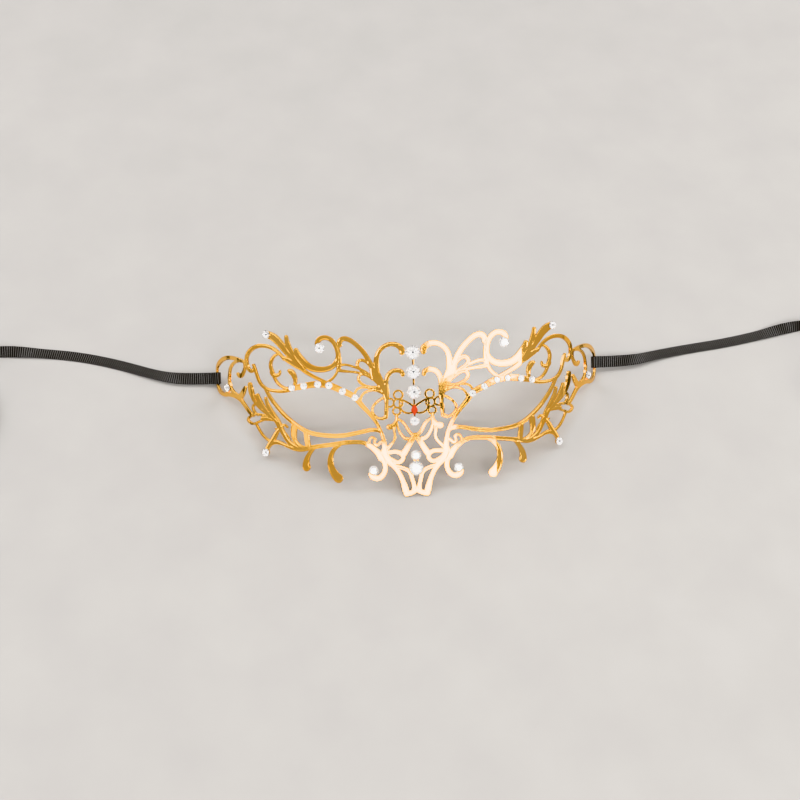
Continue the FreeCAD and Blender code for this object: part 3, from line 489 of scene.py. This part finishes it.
def smooth_curve(points, closed=False):
    """Cubic spline through points, read every STAMP_STEP; extra columns follow linearly."""
    points = np.array(points, float)
    if closed:
        points = np.vstack([points[-RING_LAP:], points, points[:RING_LAP + 1]])
    values = points[:, :2]
    knots = np.concatenate([[0], np.cumsum(np.linalg.norm(np.diff(values, axis=0), axis=1))])
    curvature = spline_curvature(knots, values)
    lap = RING_LAP if closed else 0
    first, last = knots[lap], knots[-1 - lap]
    at = np.linspace(first, last, max(2, math.ceil((last - first) / STAMP_STEP)))
    span = np.clip(np.searchsorted(knots, at, side="right") - 1, 0, len(knots) - 2)
    gap = np.diff(knots)[span][:, None]
    left = (knots[span + 1] - at)[:, None] / gap
    right = 1 - left
    line = left * values[span] + right * values[span + 1]
    line += ((left**3 - left) * curvature[span] + (right**3 - right) * curvature[span + 1]) * gap**2 / 6
    extra = [np.interp(at, knots, points[:, c]) for c in range(2, points.shape[1])]
    return np.column_stack([line] + extra)


def stamp(field, along, up, radius):
    """Adds a disc of metal to the field."""
    reach = radius + STAMP_MARGIN
    i = max(0, math.floor((along - reach + HALF_LENGTH) / GRID))
    j = max(0, math.floor((up - reach + HALF_WIDTH) / GRID))
    size = math.ceil(2 * reach / GRID) + 1
    window = field[i:i + size, j:j + size]
    across = COLUMNS[i:i + size, None] - along
    upward = ROWS[None, j:j + size] - up
    np.minimum(window, np.sqrt(across**2 + upward**2) - radius, out=window)


def pattern_field():
    """Field of the whole pattern: its right half, joined with its mirror image."""
    field = np.full((len(COLUMNS), len(ROWS)), FAR)
    for scroll in SCROLLS + CENTRE_SCROLLS:
        for along, up, width in smooth_curve(scroll):
            stamp(field, along, up, width / 2)
    for width, places in RINGS:
        for along, up in smooth_curve(places, closed=True):
            stamp(field, along, up, width / 2)
    for along, up, radius, width in KNOT_LOOPS:
        steps = math.ceil(TAU * radius / STAMP_STEP)
        for step in range(steps):
            turn = TAU * step / steps
            stamp(field, along + radius * math.cos(turn), up + radius * math.sin(turn), width / 2)
    for _, kind, along, up in SIDE_STONES:
        stamp(field, along, up, STONE_SIZE[kind] * PAD_SHARE / 2)
    for _, kind, up in CENTRE_STONES:
        stamp(field, 0, up, STONE_SIZE[kind] * PAD_SHARE / 2)
    return np.minimum(field, field[::-1])


def sampled(grid, points):
    """Bilinear reading of a grid at points of the blank."""
    i = (points[:, 0] + HALF_LENGTH) / GRID
    j = (points[:, 1] + HALF_WIDTH) / GRID
    i0 = np.clip(i.astype(int), 0, grid.shape[0] - 2)
    j0 = np.clip(j.astype(int), 0, grid.shape[1] - 2)
    fi, fj = i - i0, j - j0
    low = grid[i0, j0] * (1 - fi) + grid[i0 + 1, j0] * fi
    high = grid[i0, j0 + 1] * (1 - fi) + grid[i0 + 1, j0 + 1] * fi
    return low * (1 - fj) + high * fj


def cell_segments(value, around):
    """Pieces of the contour in the grid's cells, from the crossings around each cell."""
    count = (around >= 0).sum(axis=-1)
    single = around[count == 2]
    segments = [single[single >= 0].reshape(-1, 2)]
    # in a cell with four crossings, its middle decides which of them are joined
    saddle = count == 4
    middle = (value[:-1, :-1] + value[1:, :-1] + value[:-1, 1:] + value[1:, 1:]) / 4 < 0
    joined = (middle == (value[:-1, :-1] < 0))[saddle]
    corners = around[saddle]
    for chosen, pairs in ((joined, ((0, 1), (2, 3))), (~joined, ((0, 3), (1, 2)))):
        for pair in pairs:
            segments.append(corners[chosen][:, pair])
    return np.vstack(segments)


def contour(field, level):
    """Points and segments of the line where the field has a level (marching squares)."""
    value = field - level
    inside = value < 0
    flat = inside[:-1] != inside[1:]                  # crossings on edges along the blank
    steep = inside[:, :-1] != inside[:, 1:]           # and across it
    flat_i, flat_j = np.nonzero(flat)
    steep_i, steep_j = np.nonzero(steep)
    flat_id = np.full(flat.shape, -1)
    flat_id[flat] = np.arange(len(flat_i))
    steep_id = np.full(steep.shape, -1)
    steep_id[steep] = np.arange(len(steep_i)) + len(flat_i)
    share = value[flat_i, flat_j] / (value[flat_i, flat_j] - value[flat_i + 1, flat_j])
    on_flat = np.column_stack([COLUMNS[flat_i] + share * GRID, ROWS[flat_j]])
    share = value[steep_i, steep_j] / (value[steep_i, steep_j] - value[steep_i, steep_j + 1])
    on_steep = np.column_stack([COLUMNS[steep_i], ROWS[steep_j] + share * GRID])
    # bottom, right, top and left edge of every cell
    around = np.stack([flat_id[:, :-1], steep_id[1:], flat_id[:, 1:], steep_id[:-1]], axis=-1)
    return np.vstack([on_flat, on_steep]), cell_segments(value, around)


# ---------------------------------------------------------------- the metal sheet

EDGE_ROUND = 0.12          # radius of the polished front edges
CHANNEL_FROM, CHANNEL_TO, CHANNEL_DEPTH = 0.42, 0.64, 0.026     # slope down into a scroll's hollow
INSETS = (0.0, 0.045, EDGE_ROUND, CHANNEL_FROM, 0.475, 0.53, 0.585, CHANNEL_TO)     # of the mesh's lines
MERGE_WITHIN = 1e-7


def relief(insets):
    """Depth of the front below its ridges, and its outward lean, at distances from the edge."""
    edge = np.clip(1 - insets / EDGE_ROUND, 0, 1)
    run = CHANNEL_TO - CHANNEL_FROM
    share = np.clip((insets - CHANNEL_FROM) / run, 0, 1)
    depth = EDGE_ROUND * (1 - np.sqrt(1 - edge**2)) + CHANNEL_DEPTH * share**2 * (3 - 2 * share)
    channel_lean = np.sin(np.arctan(CHANNEL_DEPTH / run * 6 * share * (1 - share)))
    return depth, edge - channel_lean


def relief_lines(field):
    """Contours that the front's mesh follows, outline first, and every point's inset."""
    lines, segments, insets = [], [], []
    offset = 0
    for inset in INSETS:
        line, line_segments = contour(field, -inset)
        lines.append(line)
        segments.append(line_segments + offset)
        insets.append(np.full(len(line), inset))
        offset += len(line)
    return lines, segments, np.concatenate(insets)


def triangles_inside(points, segments, field):
    """Triangles of the metal between contours, as rows of point numbers."""
    found = delaunay_2d_cdt([Vector(p) for p in points], segments.tolist(), [], 0, MERGE_WITHIN, True)
    coords = np.array([v[:] for v in found[0]])
    source = np.array([ids[0] if ids else -1 for ids in found[3]])
    faces = np.array(found[2])
    faces = faces[sampled(field, coords[faces].mean(axis=1)) < 0]
    a, b, c = (coords[faces[:, k]] for k in range(3))
    turn = (b[:, 0] - a[:, 0]) * (c[:, 1] - a[:, 1]) - (b[:, 1] - a[:, 1]) * (c[:, 0] - a[:, 0])
    faces[turn < 0] = faces[turn < 0][:, ::-1]
    faces = source[faces]
    return faces[(faces >= 0).all(axis=1)]


def wall_quads(points, segments, outward, below):
    """Quad under each piece of the outline; a point's twin on the back is numbered below higher."""
    first, second = segments.T
    run = points[second] - points[first]
    facing = run[:, 1] * outward[first, 0] - run[:, 0] * outward[first, 1]
    first, second = np.where(facing > 0, first, second), np.where(facing > 0, second, first)
    return np.column_stack([first, first + below, second + below, second])


def turned_with_bend(directions, along):
    """Directions on the flat blank, turned with the bend and the lean."""
    angle = bend_angle(along)
    across, up, out = directions.T
    bend = [across * np.cos(angle) + out * np.sin(angle), up, out * np.cos(angle) - across * np.sin(angle)]
    return np.column_stack(bend) @ LEAN.T


def add_sheet():
    """The cut and bent sheet, with normals worked out from the relief of its front."""
    field = pattern_field()
    lines, segments, insets = relief_lines(field)
    points, outline = np.vstack(lines), lines[0]
    below = len(points)
    outward = unit(np.column_stack([sampled(slope, points) for slope in np.gradient(field, GRID)]))
    front = triangles_inside(points, np.vstack(segments), field)
    back = triangles_inside(outline, segments[0], field)[:, ::-1] + below
    walls = wall_quads(outline, segments[0], outward, below)

    depth, lean_out = relief(insets)
    flat = np.vstack([points, outline])
    depths = np.concatenate([depth, np.full(len(outline), SHEET_THICK)])
    vertices = on_table(bent(flat[:, 0], flat[:, 1], depths))
    faces = front.tolist() + back.tolist() + walls.tolist()
    piece = add_piece("gold_filigree", vertices, faces, "mask", "mask_frame", [GOLD])

    front_normals = np.column_stack([outward * lean_out[:, None], np.sqrt(1 - lean_out**2)])
    wall_normals = np.column_stack([outward, np.zeros(below)])
    normals = np.vstack([
        front_normals[front.ravel()],
        np.tile([0.0, 0.0, -1.0], (back.size, 1)),
        wall_normals[walls.ravel() % below],
    ])
    corners = np.concatenate([front.ravel(), back.ravel(), walls.ravel()])
    piece.data.shade_smooth()
    piece.data.normals_split_custom_set(turned_with_bend(normals, flat[corners, 0]).tolist())


add_sheet()

# ---------------------------------------------------------------- stones

GLUE_LINE = 0.05
GIRDLE_SHARE, CROWN_SHARE, TABLE_SHARE = 0.1, 0.26, 0.56        # of a stone's diameter
STAR_RADIUS, STAR_HEIGHT = 0.8, 0.55        # of the stone's radius and of its crown's height
FOIL_RADIUS, FOIL_RISE = 0.58, 0.045        # creased ring of the foil: of the radius and the diameter
CULET_RADIUS, CULET_RISE = 0.15, 0.02       # likewise
CENTRE_TURN, CENTRE_TURN_STEP = 0.1, 0.35   # turn of the first stone and from stone to stone
SIDE_TURN, SIDE_TURN_STEP = 0.2, 0.6

# A stone's rings of points, by the number of each one's first: FACETS points in the foot, the rim
# and the creased foil, and MAINS in the stars, the table and the culet
FACETS, MAINS = 16, 8
RIM_RING = FACETS
STAR_RING = RIM_RING + FACETS
TABLE_RING = STAR_RING + MAINS
CREASE_RING = TABLE_RING + MAINS
CULET_RING = CREASE_RING + FACETS


def stone_points(diameter):
    """Points of the stone's rings, in the order of their numbers."""
    radius = diameter / 2
    low, high = diameter * GIRDLE_SHARE, diameter * (GIRDLE_SHARE + CROWN_SHARE)
    star = low + (high - low) * STAR_HEIGHT
    every, odd, even = range(FACETS), range(1, FACETS, 2), range(0, FACETS, 2)

    def ring(share, height, steps):
        turns = [TAU * step / FACETS for step in steps]
        return [(radius * share * math.cos(t), radius * share * math.sin(t), height) for t in turns]

    points = ring(1, 0, every) + ring(1, low, every)
    points += ring(STAR_RADIUS, star, odd) + ring(TABLE_SHARE, high, even)
    creases = ring(FOIL_RADIUS, 0, every)
    points += [(x, y, diameter * FOIL_RISE * (k % 2)) for k, (x, y, _) in enumerate(creases)]
    return np.array(points + ring(CULET_RADIUS, diameter * CULET_RISE, even))


def foil_faces():
    """Culet with a painted dark reflection, then the creased foil round it."""
    faces = [tuple(range(CULET_RING, CULET_RING + MAINS))[::-1]]
    for k in range(FACETS):
        after = (k + 1) % FACETS
        faces += [(k, CREASE_RING + k, after), (after, CREASE_RING + k, CREASE_RING + after)]
    for k in range(MAINS):
        middle, after = CULET_RING + k, CULET_RING + (k + 1) % MAINS
        low, high, next_low = (CREASE_RING + (2 * k + step) % FACETS for step in range(3))
        faces += [(low, middle, high), (high, middle, after), (high, after, next_low)]
    return faces


def crown_faces():
    """Table, girdle, and the facets between them."""
    faces = [tuple(range(TABLE_RING, TABLE_RING + MAINS))]
    for k in range(FACETS):
        after = (k + 1) % FACETS
        faces.append((k, after, RIM_RING + after, RIM_RING + k))
    for k in range(MAINS):
        after = (k + 1) % MAINS
        star = STAR_RING + k
        start, middle, end = (RIM_RING + (2 * k + step) % FACETS for step in range(3))
        faces.append((TABLE_RING + k, star, TABLE_RING + after))
        faces.append((star, start, middle))
        faces.append((star, middle, end))
        faces.append((TABLE_RING + after, star, end, STAR_RING + after))
    return faces


def add_stone(node, kind, along, up, turn):
    """Foil-backed stone glued on the sheet, square to it."""
    foil, crown = foil_faces(), crown_faces()
    spun = stone_points(STONE_SIZE[kind]) @ np.array(Matrix.Rotation(-turn, 3, "Z"))
    angle = float(bend_angle(along))
    axes = np.array([
        [math.cos(angle), 0, -math.sin(angle)],
        [0, 1, 0],
        [math.sin(angle), 0, math.cos(angle)],
    ])
    points = on_table(bent(along, up, -GLUE_LINE) + spun @ axes)
    piece = add_piece(f"gem_{node}", points, foil + crown, "mask", node, [GLASS, FOIL, CULET_PAINTED_REFLECTION])
    # by the order of those materials: the culet's one face with its painted dark reflection, the rest of the
    # foil, then the glass
    kinds = [2] + [1] * (len(foil) - 1) + [0] * len(crown)
    piece.data.polygons.foreach_set("material_index", kinds)


for order, (node, kind, up) in enumerate(CENTRE_STONES):
    add_stone(node, kind, 0, up, CENTRE_TURN + CENTRE_TURN_STEP * order)
for side_name, side in SIDES:
    for order, (node, kind, along, up) in enumerate(SIDE_STONES):
        turn = SIDE_TURN + SIDE_TURN_STEP * order + side
        add_stone(f"{side_name}_{node}", kind, side * along, up, turn)

# ---------------------------------------------------------------- red drop of the bow

DROP_OUTLINE = [(-1.1, 0.7), (-2.2, 1.2), (-3.3, 1.5), (-4.3, 0.9), (-5.1, 0.5)]     # up, half width
DROP_POINT = 0.3                            # how far the drop runs past its outline's ends
DROP_MIDDLE = -3.3
DROP_STEPS = [(1.0, 0.0), (1.0, 0.22), (0.85, 0.36), (0.45, 0.42)]      # share of the outline, height
DROP_EVERY = 4                              # it takes every fourth point of the smooth curve


def add_enamel():
    """Domed drop between the two loops of the bow."""
    flank = smooth_curve([(half, up) for up, half in DROP_OUTLINE])[::DROP_EVERY]
    top, bottom = DROP_OUTLINE[0][0] + DROP_POINT, DROP_OUTLINE[-1][0] - DROP_POINT
    loop = np.vstack([(0, top), flank, (0, bottom), flank[::-1] * (-1, 1)])
    middle = np.array([0, DROP_MIDDLE])
    points = []
    for share, height in DROP_STEPS:
        flat = middle + (loop - middle) * share
        points.append(bent(flat[:, 0], flat[:, 1], -GLUE_LINE - height))
    faces = [face[::-1] for face in tube_faces(len(DROP_STEPS), len(loop))]
    vertices = on_table(np.vstack(points))
    piece = add_piece("red_drop", vertices, faces, "mask", "bow_enamel", [ENAMEL])
    piece.data.shade_smooth()


add_enamel()

# ---------------------------------------------------------------- ribbons

RIBBON_WIDTH, RIBBON_THICK = 5.6, 0.4
RIB_PITCH, RIB_HEIGHT = 1.04, 0.26          # the weave's cross ribs
RIB_STEPS = 4                               # strip sections per rib
# Across the ribbon: place over half the width, thickness over the ribbon's, rib over the full rib
PROFILE = [
    (-1.0, 0.5, 0.3), (-0.95, 1.0, 0.6), (-0.85, 0.8, 1.0),
    (0.85, 0.8, 1.0), (0.95, 1.0, 0.6), (1.0, 0.5, 0.3),
]
FOLD_RADIUS, FOLD_TAIL, FOLD_DROP = 1.2, 5.5, 4.0       # inside radius, end past the bar, degrees down
FOLD_MEETS = 2.84                           # where the fold's two layers begin to lie together
FOLD_GAP = 0.01                             # from either layer to the plane between them
FOLD_CLOSING = 0.48                         # of the arc that would bring the layers together by itself
FOLD_POINTS = 40                            # of that arc
SEAM_AT, SEAM_LENGTH, SEAM_STITCHES = 3.1, 4.4, 11
STITCH_LENGTH, STITCH_RISE, STITCH_RADIUS, STITCH_SLANT = 0.9, 0.14, 0.13, 0.25
STITCH_SECTIONS, STITCH_SIDES = 7, 6
LEAD_OUT = 13.0                             # straight run out of the fold
LEVEL_AFTER, EDGE_WITHIN = 28.0, 39.0       # lengths over which the ribbon turns flat, then on edge
COIL_RADIUS, COIL_LEAD, COIL_TURNS, TURN_GAP = 34.0, 20.0, 1.5, 3.4
LEAD_POINT = 0.6                            # place of the route's point on the coil's lead
COIL_POINTS = 16                            # route points per turn
# Middle of each tie on its way over the table: millimetres in the shared frame
ROUTES = {
    "left": [
        (-124, 37.8, 1.0), (-141, 45, 0.3), (-160, 50.6, 0.3), (-178, 53.4, 0.4),
        (-191, 54.2, 1.7), (-204, 53.6, 2.85), (-216.5, 52.2, 2.85),
    ],
    "right": [
        (124, 38.8, 1.0), (141, 42.4, 0.3), (160, 45.2, 0.3), (178, 49, 0.4),
        (191, 52, 1.7), (204, 53.6, 2.85), (216.5, 53.4, 2.85),
    ],
}


def fold_axes(side):
    """Middle of the bar, and the fold's axes: outward, along the bar, and square to both."""
    drop = math.radians(FOLD_DROP)
    outward = LEAN @ np.array([side * math.cos(drop), 0, -math.sin(drop)])
    along_bar = LEAN @ np.array([0, 1, 0])
    middle = on_table(bent(side * BAR_AT, BAR_UP[side], SHEET_THICK / 2)) / MM
    return middle, np.stack([outward, along_bar, np.cross(outward, along_bar) * side])


def ribbon_points(centres, widths, normals):
    """Points of a ribbed strip, section by section along its centre line."""
    ridge = RIB_HEIGHT / 2 * np.cos(np.arange(len(centres)) * TAU / RIB_STEPS)[:, None]
    loops = []
    for sign in (1, -1):
        for share, full, rib in PROFILE[::sign]:
            thick = RIBBON_THICK / 2 * full + ridge * rib
            loops.append(centres + widths * (share * RIBBON_WIDTH / 2) + normals * (sign * thick))
    return np.stack(loops, axis=1).reshape(-1, 3)


def add_ribbon(name, centres, widths, normals, side_name, node):
    """Piece of ribbon whose grooves between the ribs get the darker copy of the yarn: painted shade."""
    around = 2 * len(PROFILE)
    points = ribbon_points(centres, widths, normals) * MM
    faces = tube_faces(len(centres), around)
    piece = add_piece(name, points, faces, f"{side_name}_ribbon", node, [RIBBON, GROOVE_SHADE])
    for face in piece.data.polygons[:-2]:
        # the two steps of every rib that lie lowest, either side of its valley, get the painted groove shade
        if face.index // around % RIB_STEPS in (1, 2):
            face.material_index = 1
    piece.data.shade_smooth()
    return piece


def resampled(points, step):
    """Even points along a line, with the distance of each along it, and the line's length."""
    lengths = np.concatenate([[0], np.cumsum(np.linalg.norm(np.diff(points, axis=0), axis=1))])
    at = np.arange(0, lengths[-1], step)
    return np.column_stack([np.interp(at, lengths, points[:, k]) for k in range(3)]), at, lengths[-1]


def smooth_share(share):
    share = np.clip(share, 0, 1)
    return share * share * (3 - 2 * share)


def coil_route(start, heading, side):
    """Turns on edge after the straight lead, winding inward."""
    level = np.array([-heading[1], heading[0], 0]) * side         # toward the crown
    middle = start + heading * COIL_LEAD - level * COIL_RADIUS
    points = [start + heading * COIL_LEAD * LEAD_POINT]
    for step in range(round(COIL_TURNS * COIL_POINTS) + 1):
        turn = TAU * step / COIL_POINTS
        radius = COIL_RADIUS + TURN_GAP * (COIL_TURNS / 2 - step / COIL_POINTS)
        points.append(middle + level * radius * math.cos(turn) + heading * radius * math.sin(turn))
    return points


def tie_route(side_name, side):
    """Out of the fold, down to the table, along it and round the coil."""
    middle, (outward, _, _) = fold_axes(side)
    fold_end = middle + outward * FOLD_TAIL
    route = [fold_end, fold_end + outward * LEAD_OUT]
    route += [np.array(point, float) for point in ROUTES[side_name]]
    heading = route[-1] - route[-2]
    heading /= np.linalg.norm(heading)
    return route + coil_route(route[-1], heading, side)


def nurbs_line(name, route):
    """Points of the smooth line whose control points are the route."""
    curve = bpy.data.curves.new(name, "CURVE")
    curve.dimensions = "3D"
    spline = curve.splines.new("NURBS")
    spline.points.add(len(route) - 1)
    for point, place in zip(spline.points, route):
        point.co = (*place, 1)
    spline.order_u = 3
    spline.use_endpoint_u = True
    spline.resolution_u = 12
    holder = bpy.data.objects.new(name, curve)
    mesh = bpy.data.meshes.new_from_object(holder)
    line = np.array([v.co[:] for v in mesh.vertices])
    bpy.data.objects.remove(holder)
    bpy.data.meshes.remove(mesh)
    return line


def add_tie(side_name, side):
    """Ribbon after the fold: it turns flat on its way to the table, and on edge for the coil."""
    route = tie_route(side_name, side)
    line = nurbs_line(f"{side_name}_tie_line", route)
    centres, at, total = resampled(line, RIB_PITCH / RIB_STEPS)
    coil_from = at[np.argmin(np.linalg.norm(centres - ROUTES[side_name][-1], axis=1))]
    tilt = LEAN_ANGLE * (1 - smooth_share(at / LEVEL_AFTER))
    tilt += math.pi / 2 * smooth_share((at - coil_from + EDGE_WITHIN) / EDGE_WITHIN)
    tilt = side * tilt[:, None]
    tangents = unit(np.gradient(centres, axis=0))
    level = unit(np.cross([0, 0, 1], tangents))
    widths = level * np.cos(tilt) + np.cross(tangents, level) * np.sin(tilt)
    piece = add_ribbon(f"{side_name}_grosgrain_tie", centres, widths, np.cross(tangents, widths),
                       side_name, f"{side_name}_ribbon_tie")
    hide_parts(f"{side_name}_ribbon_coil")


def add_fold(side_name, side):
    """Ribbon round the bar: the cut end on top, the layer that runs on underneath."""
    middle, axes = fold_axes(side)
    layer = RIBBON_THICK / 2 + FOLD_GAP
    radius = FOLD_RADIUS + RIBBON_THICK / 2
    past = math.acos(layer / radius) * FOLD_CLOSING
    arc = np.linspace(math.pi / 2 - past, TAU - math.pi / 2 + past, FOLD_POINTS)
    line = [(FOLD_TAIL, 0, layer), (FOLD_MEETS, 0, layer)]
    line += [(radius * math.cos(a), 0, radius * math.sin(a)) for a in arc]
    line += [(FOLD_MEETS, 0, -layer), (FOLD_TAIL, 0, -layer)]
    centres = resampled(np.array(line), RIB_PITCH / RIB_STEPS)[0]
    widths = np.tile(axes[1], (len(centres), 1))
    normals = np.cross(unit(np.gradient(centres, axis=0)) @ axes, widths)
    add_ribbon(f"{side_name}_grosgrain_fold", middle + centres @ axes, widths, normals,
               side_name, f"{side_name}_ribbon_fold")


def add_seam(side_name, side):
    """Bar tack across the fold: slanting stitches that sink into the cloth at both ends."""
    middle, axes = fold_axes(side)
    points, faces = [], []
    for number in range(SEAM_STITCHES):
        faces += tube_faces(STITCH_SECTIONS, STITCH_SIDES, len(points))
        across = SEAM_LENGTH * (number / (SEAM_STITCHES - 1) - 0.5)
        slant = STITCH_SLANT if number % 2 else -STITCH_SLANT
        for angle in np.linspace(0, math.pi, STITCH_SECTIONS):
            reach, rise = -math.cos(angle) * STITCH_LENGTH / 2, math.sin(angle) * STITCH_RISE
            centre = np.array([SEAM_AT + reach, across + slant * reach, RIBBON_THICK + rise])
            for turn in np.linspace(0, TAU, STITCH_SIDES, endpoint=False):
                points.append(centre + STITCH_RADIUS * np.array([0, math.cos(turn), math.sin(turn)]))
    piece = add_piece(f"{side_name}_bar_tack", (middle + np.array(points) @ axes) * MM, faces,
                      f"{side_name}_ribbon", f"{side_name}_seam", [THREAD])
    piece.data.shade_smooth()


for side_name, side in SIDES:
    add_tie(side_name, side)
    add_fold(side_name, side)
    add_seam(side_name, side)

# ---------------------------------------------------------------- floor and lights
# The flat middle of the mask mirrors a narrow cone of directions, and its bent ends mirror the
# directions far to their own side. Each panel fills a window of directions, in degrees right of
# and above the mask's own front, so that a part of the sheet is white, cream or left dark.

FLOOR_HALF = 30.0                           # in metres, so that no view shows the floor's edge
PANEL_DISTANCE = 1.6
WORLD_COLOR, WORLD_STRENGTH = (0.52, 0.49, 0.46, 1), 1.1
BLACK_CARDS = [
    ("middle_card", (3.7, 26), (-5.7, -4.1)),
    ("stem_card", (2.6, 4.6), (-6.4, -2.1)),
]
SOFTBOXES = [
    ("upper_right_softbox", (6, 49), (-3.45, 1), 20.0),
    ("lower_softbox", (-4, 27), (-11.5, -7.4), 20.0),
    ("lower_right_softbox", (4.5, 10), (-7.4, -5.9), 20.0),
    ("left_band_softbox", (-52, -3), (-7.2, -3.6), 1.3),
    ("left_upper_softbox", (-58, -14), (10, 24), 2.5),
    ("overhead_softbox", (-50, 50), (45, 75), 2.0),
    ("left_high_softbox", (-98, -62), (24, 50), 5.0),
    ("left_low_softbox", (-78, -52), (-20, -10), 5.0),
    ("right_high_softbox", (62, 98), (24, 50), 5.0),
    ("right_low_softbox", (52, 78), (-20, -10), 5.0),
]


def quad(name, width, height, material):
    """Flat rectangle in its own XY plane."""
    mesh = bpy.data.meshes.new(name)
    corners = [(x * width / 2, y * height / 2, 0) for x, y in ((-1, -1), (1, -1), (1, 1), (-1, 1))]
    mesh.from_pydata(corners, [], [(0, 1, 2, 3)])
    mesh.materials.append(material)
    return add_object(name, mesh)


def from_front(right, up):
    """Unit direction at angles right of and above the mask's own front, in the shared frame."""
    right, up = math.radians(right), math.radians(up)
    flat = math.cos(up)
    return Vector(LEAN @ np.array([flat * math.sin(right), math.sin(up), flat * math.cos(right)]))


def panel_size(low, high):
    return 2 * PANEL_DISTANCE * math.tan(math.radians(high - low) / 2)


def panel_place(right, up):
    """Place of a panel in the middle of its window, facing the mask."""
    back = from_front(sum(right) / 2, sum(up) / 2)
    crown = Vector(LEAN @ np.array([0, 1, 0]))
    side = crown.cross(back).normalized()
    turned = Matrix((side, back.cross(side), back)).transposed().to_4x4()
    return Matrix.Translation(back * PANEL_DISTANCE) @ turned


def add_softbox(name, right, up, radiance):
    data = bpy.data.lights.new(name, "AREA")
    data.shape = "RECTANGLE"
    data.size, data.size_y = panel_size(*right), panel_size(*up)
    data.energy = radiance * math.pi * panel_size(*right) * panel_size(*up)
    add_object(name, data).matrix_world = panel_place(right, up)


def add_black_card(name, right, up, material):
    """Unlit card that the polished sheet mirrors as a dark streak."""
    card = quad(name, panel_size(*right), panel_size(*up), material)
    card.matrix_world = panel_place(right, up)


def add_world():
    world = bpy.data.worlds.new("studio")
    world.use_nodes = True
    background = world.node_tree.nodes["Background"]
    background.inputs["Color"].default_value = WORLD_COLOR
    background.inputs["Strength"].default_value = WORLD_STRENGTH
    bpy.context.scene.world = world


quad("floor", 2 * FLOOR_HALF, 2 * FLOOR_HALF, floor_material())
card_material = new_material("card_black", (0.01, 0.01, 0.01), 0.6)[0]
for card in BLACK_CARDS:
    add_black_card(*card, card_material)
for softbox in SOFTBOXES:
    add_softbox(*softbox)
add_world()
bpy.context.scene.view_settings.view_transform = "Khronos PBR Neutral"
